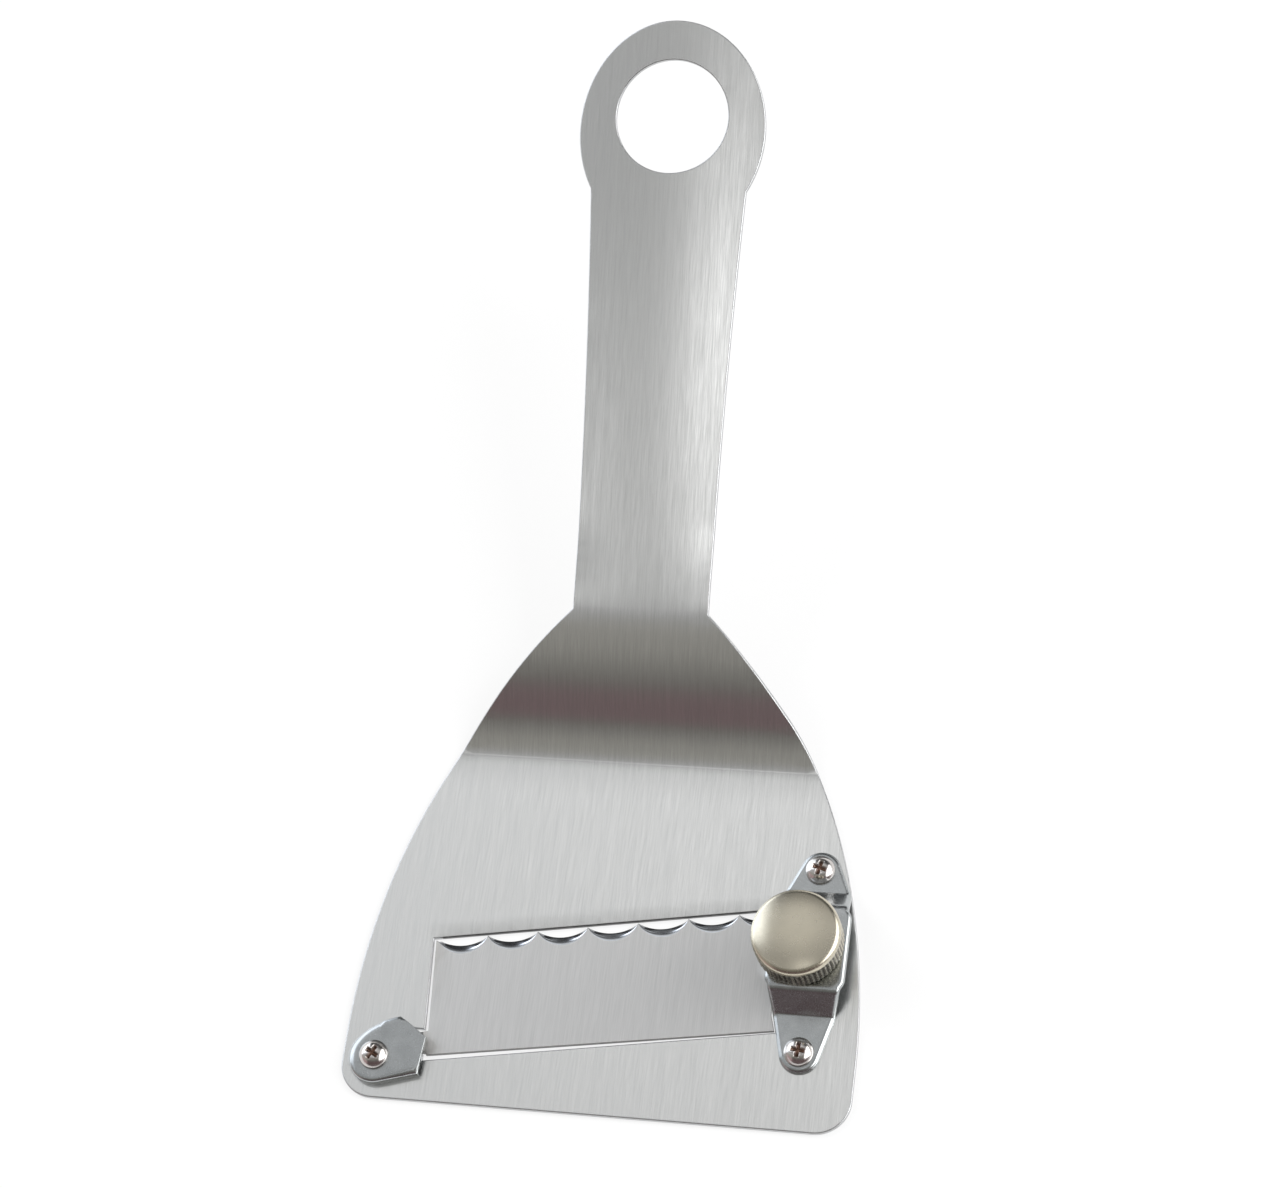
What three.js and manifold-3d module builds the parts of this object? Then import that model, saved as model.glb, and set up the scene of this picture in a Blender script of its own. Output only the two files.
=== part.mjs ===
// Truffle shaver with an adjustable scalloped blade.
//
// One stainless sheet makes the plate, the raised neck and the handle with its hanging ring.
// The blade lies in a slanted window of the plate. A pressed clip and a screw hold its left end,
// and a knob on a threaded stem, carried by a bridge over its right end, lifts that end.
//
// Frame: millimetres, +Z up, +Y from the plate towards the handle, +X to the right.
// Inside the group, y = 0 is the line where the flat plate starts to bend up into the neck.

import * as THREE from "three";
import { mergeVertices } from "three/addons/utils/BufferGeometryUtils.js";
import Module from "manifold-3d";

const wasm = await Module();
wasm.setup();

// Body sheet
const SHEET = 1.0; // thickness of the plate, neck and handle
const PLATE_LENGTH = 62.1; // from the front edge to the neck's bend line
const PLATE_WIDTH = 88;
const PLATE_CORNER = 6; // radius of the two front corners
const PLATE_SIDE = 11; // length over which the plate keeps its full width, corners included
const NECK_WIDTH = 24;
const NECK_RISE = 15.3; // height of the handle's start over the plate
const NECK_CREASE = 27; // angle of the tight bend that the neck starts with, in degrees
const NECK_CREASE_BEND = 3; // radius of that bend
const NECK_SLOPE = 45; // steepest angle of the neck, in degrees
const NECK_LOWER_BEND = 30; // bend radius from the crease up to the steepest part
const NECK_STRAIGHT = 0.2; // length of the steepest part, which bends over into the handle
const SHOULDER_ANGLE = 45.5; // angle at which the outline leaves the neck, in degrees
const SHOULDER_PULL = 42.5; // how far the outline runs on at that angle
const SIDE_PULL = 12.5; // how far the outline runs straight before the full width
const HANDLE_PITCH = 20.5; // angle of the handle to the plate, in degrees
const HANDLE_LENGTH = 86.8; // from the neck to the middle of the hanging hole
const HANDLE_END_WIDTH = 27.8; // where the handle meets the ring
const RING_WIDTH = 33.2;
const RING_LENGTH = 38.6;
const HOLE_DIAMETER = 20;
const HOLE_OFFSET = 2.3; // hole centre past the ring's centre
const RING_LAST = 88.5; // where the ring's outline ends, in degrees, just short of a point

// Window and blade
const WINDOW_INSET = 12.6; // window's upper left corner from the plate's left side
const WINDOW_REACH = 28.9; // and from its front edge
const WINDOW_END = 1.4; // from the window's right end to the bridge's middle
const WINDOW_HEIGHT = 22; // measured along Y
const WINDOW_TILT = 9.1; // slant of the upper and lower edges, in degrees
const WINDOW_LEAN = 3.7; // lean of the left edge, in degrees
const BLADE_THICKNESS = 0.8;
const BLADE_SIDE_GAP = 0.55; // to the window's left edge
const BLADE_EDGE_GAP = 0.2; // from the points of the teeth to the window's upper edge
const BLADE_HEEL_GAP = 0.9; // to the window's lower edge, at the left end
const BLADE_HEEL_TAPER = 0.6; // how much that gap narrows towards the right end
const TOOTH_PITCH = 8.75;
const TOOTH_DEPTH = 1.35; // depth of a gullet at the cutting edge
const TOOTH_BEVEL = 1.25; // width of the ground bevel at its middle
const TOOTH_LAND = 0.1; // height of the edge left under the bevel
const TOOTH_START = 0.78; // first point of the teeth, from the window's left end, along the edge
const LAND_WIDTH = 1.4; // plain land at the blade's left corner
const LAND_DROP = 0.3;

// Clip and blade eye at the left end
const CLIP_INSET = 6.1; // clip screw from the plate's left side
const CLIP_REACH = 6.8; // and from its front edge
const CLIP_ROUND = 4.7; // radius of the clip's round end
const CLIP_ROUND_FROM = 150; // where the round end starts and stops, in degrees round the screw
const CLIP_ROUND_TO = 285;
const CLIP_EDGE_LOW = [7.9, -2.6]; // plan points from the screw: ends of the edge over the blade
const CLIP_EDGE_HIGH = [8.5, 3.9];
const CLIP_PEAK = [3.4, 7.3];
const CLIP_SHOULDER = [-1.6, 6.0]; // pulls the curve from the peak to the round end
const CLIP_ROLL = 0.4; // rounding of the clip's upper edge
const CLIP_WALL = 0.8;
const EYE_ROUND = 3.1; // radius of the blade's eye under the clip
const EYE_ARC_FROM = 65; // where the arm leaves the eye, in degrees round the screw
const EYE_ARC_TO = 290;
const EYE_SLACK = 0.65; // radial play of the eye on its screw
const EYE_LIFT_ROOM = 0.35; // room above the eye for the blade to tilt
const EYE_FLOOR_ROOM = 0.15; // room under the eye
const EYE_ROOT_RISE = 5.6; // upper edge of the eye's arm where it leaves the blade, over the screw
const EYE_ROOT_WIDTH = 4;
const NOTCH_DEPTH = 2.4; // notch in the window's left edge, where the arm steps up over the plate
const NOTCH_GAP = 0.2; // round the arm in its notch

// Bridge over the right end
const BRIDGE_INSET = 9.6; // bridge's middle from the plate's right side
const BRIDGE_REACH = 30.6; // knob axis from the plate's front edge
const BRIDGE_SHEET = 1.0;
const BRIDGE_WIDTH = 13.6; // of the raised top
const TOP_FOLD_WIDTH = 12.5; // where the top folds down
const UPPER_FOLD_WIDTH = 11.5; // where the upper foot starts
const LOWER_FOLD_WIDTH = 10.7; // where the lower foot starts
const BRIDGE_CORNER = 1.5; // length over which the top's corners draw in
const BRIDGE_TOP_HALF = 7.2; // half length of the raised top
const BRIDGE_FOLD_HALF = 10.7; // from the knob axis to where a foot starts
const BRIDGE_BEND = 1.0; // bend radius of the bridge's centre line
const FOOT_ROUND = 3.5; // radius of a foot's tip
const FOOT_FIRST = -86; // where a foot's outline starts, in degrees, just short of a point
const UPPER_REACH = 14.9; // knob axis to the upper foot's screw
const LOWER_REACH = 17.3; // knob axis to the lower foot's screw

// Knob, stem and what rides on it
const THREAD_PITCH = 0.7;
const KNOB_TURNS = 2;
const LIFT_ROOM = 0.1; // left under the bridge when the stem is all the way up
const KNOB_OFFSET = 1.1; // knob axis from the bridge's middle, towards the blade
const KNOB_DIAMETER = 15.2;
const KNOB_HEIGHT = 7;
const KNOB_EDGE = 2.2; // rounding of the knob's upper edge
const KNOB_CROWN = 0.35; // rise of the knob's top face
const KNOB_CHAMFER = 0.5;
const KNOB_RIBS = 56;
const KNURL_DEPTH = 0.25;
const KNOB_SOCKET = 5; // depth of the stem's seat in the knob
const STEM_DIAMETER = 4;
const PIN_DIAMETER = 2.4; // reduced end of the stem, through the blade
const BUSH_FLANGE = 8;
const BUSH_FLANGE_HEIGHT = 0.9;
const BUSH_SHANK = 5.6;
const WASHER_DIAMETER = 6;
const WASHER_THICKNESS = 0.4;
const STEM_CLIP_DIAMETER = 5.2;
const STEM_CLIP_THICKNESS = 0.6;
const STEM_CLIP_MOUTH = 1.5;
const TONGUE_WIDTH = 11.2; // the blade's right end, under the bridge
const TONGUE_STEP = 1.4; // length of the step up from the blade to the tongue
const TONGUE_END = 4.2; // from the knob axis to the tongue's end
const TONGUE_SLACK = 0.4; // radial play of the tongue on the stem's pin

// Screws
const SCREW_DIAMETER = 2.5;
const HEAD_DIAMETER = 5;
const HEAD_HEIGHT = 1.8;
const HEAD_ROUND = 1.1;
const RECESS_WIDTH = 0.7;
const RECESS_LENGTH = 2.8;
const RECESS_DEPTH = 1.1;

// Clearances
const SEAT = 0.05; // between two flat faces that rest on each other
const FIT = 0.1; // radial, round a pin or screw in its hole
const RUN = 0.15; // between faces that slide as the blade tilts
const BRIDGE_GAP = 0.3; // between the blade's right edge and the bridge

// Facets of round pieces
const ROUND = 32;
const FINE_ROUND = 48;
const PAST = 1; // how far a cutting tool runs past the face that it cuts

const rad = THREE.MathUtils.degToRad;

// Solids

// A closed geometry as a solid that can be joined and cut.
function solid(geometry) {
  const bare = geometry.clone();
  for (const name of Object.keys(bare.attributes)) {
    if (name !== "position") bare.deleteAttribute(name);
  }
  const merged = mergeVertices(bare, 1e-4);
  return new wasm.Manifold(
    new wasm.Mesh({
      numProp: 3,
      vertProperties: new Float32Array(merged.attributes.position.array),
      triVerts: new Uint32Array(merged.index.array),
    }),
  );
}

// A solid back as a geometry with flat facets.
function geometryOf(body) {
  const { vertProperties, triVerts } = body.getMesh();
  const indexed = new THREE.BufferGeometry();
  indexed.setAttribute("position", new THREE.BufferAttribute(vertProperties, 3));
  indexed.setIndex(new THREE.BufferAttribute(triVerts, 1));
  const facets = indexed.toNonIndexed();
  facets.computeVertexNormals();
  return facets;
}

// A plan outline raised from one height to another.
function prism(shape, bottom, top, curveSegments = 12) {
  const geometry = new THREE.ExtrudeGeometry(shape, {
    depth: top - bottom,
    bevelEnabled: false,
    curveSegments,
  });
  return solid(geometry.translate(0, 0, bottom));
}

// A solid between two plan outlines with as many [x, y] points, one lower and one higher.
function loft(low, high, bottom, top) {
  const count = low.length;
  const positions = [
    ...low.flatMap(([x, y]) => [x, y, bottom]),
    ...high.flatMap(([x, y]) => [x, y, top]),
  ];
  const triangles = (points) =>
    THREE.ShapeUtils.triangulateShape(points.map(([x, y]) => new THREE.Vector2(x, y)), []);
  const index = [];
  for (const [a, b, c] of triangles(low)) {
    index.push(c, b, a);
  }
  for (const corners of triangles(high)) {
    index.push(...corners.map((corner) => count + corner));
  }
  for (let i = 0; i < count; i += 1) {
    const next = (i + 1) % count;
    index.push(i, next, count + next, i, count + next, count + i);
  }
  const geometry = new THREE.BufferGeometry();
  geometry.setAttribute("position", new THREE.Float32BufferAttribute(positions, 3));
  geometry.setIndex(index);
  return solid(geometry);
}

// A side outline, drawn in X and Z, carried along Y.
function sideways(shape, from, to) {
  const geometry = new THREE.ExtrudeGeometry(shape, {
    depth: to - from,
    bevelEnabled: false,
  });
  return solid(geometry.rotateX(Math.PI / 2).translate(0, to, 0));
}

// An upright round bar.
function bar(x, y, radius, bottom, top, facets = ROUND) {
  const geometry = new THREE.CylinderGeometry(radius, radius, top - bottom, facets);
  return solid(geometry.rotateX(Math.PI / 2).translate(x, y, (bottom + top) / 2));
}

// A block between two corners.
function block(low, high) {
  const size = high.map((value, i) => value - low[i]);
  const geometry = new THREE.BoxGeometry(...size);
  return solid(geometry.translate(...low.map((value, i) => value + size[i] / 2)));
}

// A profile of [radius, height] points turned about an upright axis at the origin.
function turned(points, facets = ROUND) {
  const profile = points.map(([radius, height]) => new THREE.Vector2(radius, height));
  return solid(new THREE.LatheGeometry(profile, facets).rotateX(Math.PI / 2));
}

// A closed polygon through [x, y] points.
function polygon(points) {
  return new THREE.Shape(points.map(([x, y]) => new THREE.Vector2(x, y)));
}

// Formed sheet

// The side view of a bent strip: a list of straight runs {run} and bends {radius, turn}, turn in degrees
// and positive upwards. Gives the point and the slope at a distance along the strip.
function sideLine(start, height, steps) {
  return (distance) => {
    const at = { y: start, z: height, slope: 0 };
    let left = distance;
    for (const step of steps) {
      const turn = rad(step.turn ?? 0);
      const length = step.run ?? step.radius * Math.abs(turn);
      const used = Math.min(left, length);
      const share = length > 0 ? used / length : 0;
      const end = at.slope + turn * share;
      const middle = (at.slope + end) / 2;
      const half = (end - at.slope) / 2;
      const chord = half === 0 ? used : (used * Math.sin(half)) / half;
      at.y += chord * Math.cos(middle);
      at.z += chord * Math.sin(middle);
      at.slope = end;
      left -= used;
      if (left <= 0) break;
    }
    return at;
  };
}

function lineLength(steps) {
  return steps.reduce((sum, s) => sum + (s.run ?? s.radius * rad(Math.abs(s.turn))), 0);
}

// A sheet bent along a side line, with an outline of [half width, distance] points in its flat pattern.
function formedSheet(line, outline, thickness, centreX = 0) {
  const positions = [];
  for (const [half, distance] of outline) {
    const { y, z, slope } = line(distance);
    for (const [side, face] of [[-1, 1], [1, 1], [1, -1], [-1, -1]]) {
      const off = (face * thickness) / 2;
      positions.push(centreX + side * half, y - off * Math.sin(slope), z + off * Math.cos(slope));
    }
  }
  const index = [];
  const quad = (a, b, c, d) => index.push(a, b, c, a, c, d);
  for (let i = 0; i + 1 < outline.length; i += 1) {
    const here = 4 * i;
    for (let k = 0; k < 4; k += 1) {
      const next = (k + 1) % 4;
      quad(here + k, here + next, here + 4 + next, here + 4 + k);
    }
  }
  const last = 4 * (outline.length - 1);
  quad(3, 2, 1, 0);
  quad(last, last + 1, last + 2, last + 3);
  const geometry = new THREE.BufferGeometry();
  geometry.setAttribute("position", new THREE.Float32BufferAttribute(positions, 3));
  geometry.setIndex(index);
  return solid(geometry);
}

// An outline with extra rows at some distances, each on the line between its neighbours.
function withRows(outline, distances) {
  const rows = [...outline];
  for (const distance of distances) {
    const next = rows.findIndex((row) => row[1] > distance);
    const [before, after] = [rows[next - 1], rows[next]];
    const share = (distance - before[1]) / (after[1] - before[1]);
    rows.splice(next, 0, [before[0] + share * (after[0] - before[0]), distance]);
  }
  return rows;
}

const pairs = (curve, count) => curve.getPoints(count).map((p) => [p.x, p.y]);

// Heights that several pieces share
const plateTop = SHEET;
const bladeBottom = plateTop - BLADE_THICKNESS;
const eyeBottom = plateTop + EYE_FLOOR_ROOM;
const eyeTop = eyeBottom + BLADE_THICKNESS;
const clipBottom = plateTop + SEAT;
const clipInside = eyeTop + EYE_LIFT_ROOM;
const clipTop = clipInside + CLIP_WALL;
const footBottom = plateTop + SEAT;
const footTop = footBottom + BRIDGE_SHEET;
const stemClipBottom = plateTop + BRIDGE_GAP;
const tongueBottom = stemClipBottom + STEM_CLIP_THICKNESS + RUN;
const tongueTop = tongueBottom + BLADE_THICKNESS;
const washerBottom = tongueTop + RUN;
const washerTop = washerBottom + WASHER_THICKNESS;
const stemShoulder = washerTop + SEAT;
const bridgeInside = washerTop + THREAD_PITCH * KNOB_TURNS + LIFT_ROOM;
const bridgeTop = bridgeInside + BRIDGE_SHEET;
const bushTop = bridgeTop + SEAT + BUSH_FLANGE_HEIGHT;
const knobBottom = bushTop + BRIDGE_GAP;
const knobTop = knobBottom + KNOB_HEIGHT;

// Places in plan, from the plate's sides and front edge
const frontEdge = -PLATE_LENGTH;
const clipX = CLIP_INSET - PLATE_WIDTH / 2;
const clipY = frontEdge + CLIP_REACH;
const bridgeX = PLATE_WIDTH / 2 - BRIDGE_INSET;
const bridgeY = frontEdge + BRIDGE_REACH;
const knobX = bridgeX - KNOB_OFFSET;
const windowLeft = WINDOW_INSET - PLATE_WIDTH / 2;
const windowRight = bridgeX - WINDOW_END;
const windowTop = frontEdge + WINDOW_REACH;
const eyeRootTop = clipY + EYE_ROOT_RISE;
const eyeRootBottom = eyeRootTop - EYE_ROOT_WIDTH;

// Window edges in plan
const windowSlope = Math.tan(rad(WINDOW_TILT));
const windowUpper = (x) => windowTop + (x - windowLeft) * windowSlope;
const windowLower = (x) => windowUpper(x) - WINDOW_HEIGHT;
const windowSide = (y) => windowLeft + (windowTop - y) * Math.tan(rad(WINDOW_LEAN));
const notchLeft = windowSide(eyeRootTop) - NOTCH_DEPTH;

const screwPlaces = [
  [clipX, clipY],
  [bridgeX, bridgeY + UPPER_REACH],
  [bridgeX, bridgeY - LOWER_REACH],
];

// Body plate

// How far a bend of radius 1 rises between two slopes.
const bendRise = (from, to) => Math.abs(Math.cos(rad(from)) - Math.cos(rad(to)));
// The bend into the handle takes up the rise that the rest of the neck leaves.
const neckUpperBend =
  (NECK_RISE -
    NECK_CREASE_BEND * bendRise(0, NECK_CREASE) -
    NECK_LOWER_BEND * bendRise(NECK_CREASE, NECK_SLOPE) -
    NECK_STRAIGHT * Math.sin(rad(NECK_SLOPE))) /
  bendRise(NECK_SLOPE, HANDLE_PITCH);
const creaseLength = NECK_CREASE_BEND * rad(NECK_CREASE);
const neckSteps = [
  { run: PLATE_LENGTH },
  { radius: NECK_CREASE_BEND, turn: NECK_CREASE },
  { radius: NECK_LOWER_BEND, turn: NECK_SLOPE - NECK_CREASE },
  { run: NECK_STRAIGHT },
  { radius: neckUpperBend, turn: HANDLE_PITCH - NECK_SLOPE },
];
const neckEnd = lineLength(neckSteps);
const holeAt = neckEnd + HANDLE_LENGTH;
const ringCentre = holeAt - HOLE_OFFSET;
const bodySteps = [...neckSteps, { run: HANDLE_LENGTH + RING_LENGTH }];
const bodyLine = sideLine(frontEdge, SHEET / 2, bodySteps);

// Half of the flat pattern's outline, as [half width, distance from the front edge].
function bodyOutline() {
  const wide = PLATE_WIDTH / 2;
  const neck = NECK_WIDTH / 2;
  const end = HANDLE_END_WIDTH / 2;
  const ringHalf = RING_WIDTH / 2;
  const corner = new THREE.EllipseCurve(
    wide - PLATE_CORNER, PLATE_CORNER, PLATE_CORNER, PLATE_CORNER, -Math.PI / 2, 0,
  );
  const shoulder = new THREE.CubicBezierCurve(
    new THREE.Vector2(wide, PLATE_SIDE),
    new THREE.Vector2(wide, PLATE_SIDE + SIDE_PULL),
    new THREE.Vector2(
      neck + SHOULDER_PULL * Math.sin(rad(SHOULDER_ANGLE)),
      neckEnd - SHOULDER_PULL * Math.cos(rad(SHOULDER_ANGLE)),
    ),
    new THREE.Vector2(neck, neckEnd),
  );
  const ringStart = Math.acos(end / ringHalf);
  const notch = ringCentre - (RING_LENGTH / 2) * Math.sin(ringStart);
  const grip = new THREE.QuadraticBezierCurve(
    new THREE.Vector2(neck, neckEnd),
    new THREE.Vector2(neck, (neckEnd + notch) / 2),
    new THREE.Vector2(end, notch),
  );
  const ring = new THREE.EllipseCurve(
    0, ringCentre, ringHalf, RING_LENGTH / 2, -ringStart, rad(RING_LAST),
  );
  return [
    ...pairs(corner, 7),
    ...pairs(shoulder, 44),
    ...pairs(grip, 12).slice(1),
    ...pairs(ring, 26).slice(1),
  ];
}

function bodyPlate() {
  const creaseRows = [0, 0.25, 0.5, 0.75, 1].map((share) => PLATE_LENGTH + share * creaseLength);
  const sheet = formedSheet(bodyLine, withRows(bodyOutline(), creaseRows), SHEET);
  const hole = bodyLine(holeAt);
  const punch = new THREE.CylinderGeometry(HOLE_DIAMETER / 2, HOLE_DIAMETER / 2, 4 * SHEET, FINE_ROUND);
  punch.rotateX(Math.PI / 2 + hole.slope).translate(0, hole.y, hole.z);
  const lowerLeft = windowSide(windowLower(windowLeft));
  const window = polygon([
    [windowLeft, windowUpper(windowLeft)],
    [lowerLeft, windowLower(lowerLeft)],
    [windowRight, windowLower(windowRight)],
    [windowRight, windowUpper(windowRight)],
  ]);
  const notch = block(
    [notchLeft, eyeRootBottom - NOTCH_GAP, -PAST],
    [windowSide(eyeRootBottom) + PAST, eyeRootTop + NOTCH_GAP, plateTop + PAST],
  );
  let body = sheet
    .subtract(solid(punch))
    .subtract(prism(window, -PAST, plateTop + PAST))
    .subtract(notch);
  for (const [x, y] of screwPlaces) {
    body = body.subtract(bar(x, y, SCREW_DIAMETER / 2 + FIT, -PAST, plateTop + PAST, 20));
  }
  return body;
}

// Screws

// A pan-head screw with a cross recess, its head resting at a height and its tip just inside the plate.
function panScrew(seat) {
  const shank = SCREW_DIAMETER / 2;
  const head = HEAD_DIAMETER / 2;
  const under = seat + SEAT;
  const tip = 2 * SEAT;
  const rim = new THREE.EllipseCurve(
    head - HEAD_ROUND, under + HEAD_HEIGHT - HEAD_ROUND, HEAD_ROUND, HEAD_ROUND, 0, Math.PI / 2,
  );
  const profile = [
    [0, tip],
    [shank - 2 * SEAT, tip],
    [shank, tip + 2 * SEAT],
    [shank, under],
    [head, under],
    ...pairs(rim, 5),
    [0, under + HEAD_HEIGHT + SEAT],
  ];
  const top = under + HEAD_HEIGHT + PAST;
  const floor = under + HEAD_HEIGHT - RECESS_DEPTH;
  const slot = (a, b) => block([-a / 2, -b / 2, floor], [a / 2, b / 2, top]);
  return turned(profile, 24)
    .subtract(slot(RECESS_LENGTH, RECESS_WIDTH))
    .subtract(slot(RECESS_WIDTH, RECESS_LENGTH));
}

// Blade

const bladeRight = bridgeX - LOWER_FOLD_WIDTH / 2 - BRIDGE_GAP;
const bladeUpper = (x) => windowUpper(x) - BLADE_EDGE_GAP;
const bladeSide = (y) => windowSide(y) + BLADE_SIDE_GAP;
const bladeLower = (x) => {
  const share = (x - windowLeft) / (bladeRight - windowLeft);
  return windowLower(x) + BLADE_HEEL_GAP - BLADE_HEEL_TAPER * share;
};

// The flat blade between the clip and the bridge, its upper edge still straight. Its right edge follows the
// side of the bridge's lower foot.
function bladeBlank() {
  const upperLeft = bladeSide(windowUpper(windowLeft));
  const lowerLeft = bladeSide(windowLower(windowLeft));
  const foldY = bridgeY - BRIDGE_FOLD_HALF;
  const lowerFoot = LOWER_REACH - BRIDGE_FOLD_HALF;
  const footSlope = (LOWER_FOLD_WIDTH / 2 - FOOT_ROUND) / lowerFoot;
  const heelRight = bladeRight + footSlope * (foldY - bladeLower(bladeRight));
  return prism(
    polygon([
      [upperLeft, bladeUpper(upperLeft)],
      [lowerLeft, bladeLower(lowerLeft)],
      [heelRight, bladeLower(heelRight)],
      [bladeRight, foldY],
      [bladeRight, bladeUpper(bladeRight)],
    ]),
    bladeBottom,
    plateTop,
  );
}

const toothRun = bladeRight - windowLeft - TOOTH_START;
const toothCount = Math.ceil(toothRun / (TOOTH_PITCH * Math.cos(rad(WINDOW_TILT))));

// The outline of a gullet of some depth: an arc between two points of the teeth, which lie on the blade's
// straight edge, closed outside the blade.
function gulletOutline(along, depth) {
  const half = TOOTH_PITCH / 2;
  const radius = (half ** 2 + depth ** 2) / (2 * depth);
  const open = Math.asin(half / radius);
  const arc = new THREE.EllipseCurve(
    along, radius - depth, radius, radius, -Math.PI / 2 - open, -Math.PI / 2 + open,
  );
  return [...pairs(arc, 20), [along + half, PAST], [along - half, PAST]];
}

// One tooth gullet: a shallow cut that leaves a low edge and deepens above it into the ground bevel.
function gullet(number) {
  const along = TOOTH_START + (number + 0.5) * TOOTH_PITCH;
  const land = bladeBottom + TOOTH_LAND;
  const low = gulletOutline(along, TOOTH_DEPTH);
  const high = gulletOutline(along, TOOTH_DEPTH + TOOTH_BEVEL);
  const rise = (plateTop + PAST - land) / (plateTop - land);
  const past = low.map(([x, y], i) => [x + rise * (high[i][0] - x), y + rise * (high[i][1] - y)]);
  return prism(polygon(low), bladeBottom - PAST, land)
    .add(loft(low, past, land, plateTop + PAST))
    .rotate(0, 0, WINDOW_TILT)
    .translate(windowLeft, bladeUpper(windowLeft), 0);
}

// The plain land cut a little lower at the blade's left corner.
function cornerLand() {
  const left = windowLeft - PAST;
  const right = bladeSide(windowTop) + LAND_WIDTH;
  return prism(
    polygon([
      [left, bladeUpper(left) - LAND_DROP],
      [right, bladeUpper(right) - LAND_DROP],
      [right, bladeUpper(right) + PAST],
      [left, bladeUpper(left) + PAST],
    ]),
    bladeBottom - PAST,
    plateTop + PAST,
  );
}

// A strip of the blade's sheet that runs level, steps up and runs level again, drawn in X and Z.
function steppedStrip(from, stepStart, stepEnd, to, bottom) {
  return polygon([
    [from, bladeBottom],
    [stepStart, bladeBottom],
    [stepEnd, bottom],
    [to, bottom],
    [to, bottom + BLADE_THICKNESS],
    [stepEnd, bottom + BLADE_THICKNESS],
    [stepStart, plateTop],
    [from, plateTop],
  ]);
}

// The arm and eye at the left end, which step up out of the window and lie under the clip.
function bladeEye() {
  const root = bladeSide(eyeRootBottom) + PAST;
  const stepStart = bladeSide(eyeRootTop);
  const stepEnd = notchLeft + NOTCH_GAP;
  const end = clipX - EYE_ROUND;
  const side = steppedStrip(root, stepStart, stepEnd, end - PAST, eyeBottom);
  const plan = new THREE.Shape();
  plan.moveTo(notchLeft, eyeRootBottom);
  plan.lineTo(root, eyeRootBottom);
  plan.lineTo(root, eyeRootTop);
  plan.absarc(clipX, clipY, EYE_ROUND, rad(EYE_ARC_FROM), rad(EYE_ARC_TO), false);
  const low = clipY - EYE_ROUND - PAST;
  return sideways(side, low, eyeRootTop + PAST)
    .intersect(prism(plan, bladeBottom - PAST, eyeTop + PAST, 24))
    .subtract(bar(clipX, clipY, SCREW_DIAMETER / 2 + EYE_SLACK, 0, eyeTop + PAST, 24));
}

// The tongue at the right end, which steps up under the bridge and takes the stem's pin.
function bladeTongue() {
  const stepStart = bladeRight + BRIDGE_GAP;
  const end = knobX + TONGUE_END;
  const half = TONGUE_WIDTH / 2;
  const side = steppedStrip(bladeRight - PAST, stepStart, stepStart + TONGUE_STEP, end, tongueBottom);
  const hole = bar(knobX, bridgeY, PIN_DIAMETER / 2 + TONGUE_SLACK, 0, tongueTop + PAST, 24);
  return sideways(side, bridgeY - half, bridgeY + half).subtract(hole);
}

function blade() {
  let cut = bladeBlank().subtract(cornerLand());
  for (let i = 0; i < toothCount; i += 1) {
    cut = cut.subtract(gullet(i));
  }
  return cut.add(bladeEye()).add(bladeTongue());
}

// Clip

// Plan outline of the clip round its screw: a round end, a peak above and a straight edge over the blade.
// The inset draws it smaller all round.
function clipOutline(inset) {
  const round = CLIP_ROUND - inset;
  const start = rad(CLIP_ROUND_FROM);
  const shape = new THREE.Shape();
  shape.moveTo(CLIP_EDGE_LOW[0] - inset, CLIP_EDGE_LOW[1] + inset);
  shape.lineTo(CLIP_EDGE_HIGH[0] - inset, CLIP_EDGE_HIGH[1] - inset / 2);
  shape.lineTo(CLIP_PEAK[0], CLIP_PEAK[1] - inset);
  shape.quadraticCurveTo(
    CLIP_SHOULDER[0], CLIP_SHOULDER[1] - inset, round * Math.cos(start), round * Math.sin(start),
  );
  shape.absarc(0, 0, round, start, rad(CLIP_ROUND_TO), false);
  return shape;
}

// A shallow pressed cap, open towards the blade, held by one screw.
function bladeClip() {
  const outer = new THREE.ExtrudeGeometry(clipOutline(CLIP_ROLL), {
    depth: clipTop - clipBottom - CLIP_ROLL,
    bevelEnabled: true,
    bevelThickness: CLIP_ROLL,
    bevelSize: CLIP_ROLL,
    bevelSegments: 3,
    curveSegments: 14,
  });
  outer.translate(0, 0, clipBottom);
  const wide = 2 * CLIP_PEAK[1];
  const floor = block([-wide, -wide, clipBottom - PAST], [wide, wide, clipBottom]);
  const mouth = block(
    [CLIP_PEAK[0] - EYE_ROUND, CLIP_EDGE_LOW[1] + CLIP_WALL / 4, clipBottom - PAST],
    [CLIP_EDGE_HIGH[0] + PAST, CLIP_PEAK[1] + PAST, clipInside],
  );
  return solid(outer)
    .subtract(floor)
    .subtract(prism(clipOutline(CLIP_WALL), clipBottom - PAST, clipInside))
    .subtract(mouth)
    .subtract(bar(0, 0, SCREW_DIAMETER / 2 + FIT, clipBottom, clipTop + PAST, 24));
}

// Bridge

const riserRun = BRIDGE_FOLD_HALF - BRIDGE_TOP_HALF;
const riserAngle = THREE.MathUtils.radToDeg(Math.atan2(bridgeTop - footTop, riserRun));
const bendCut = BRIDGE_BEND * Math.tan(rad(riserAngle) / 2); // length that a bend takes off each run
const riserLength = Math.hypot(riserRun, bridgeTop - footTop) - 2 * bendCut;

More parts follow.
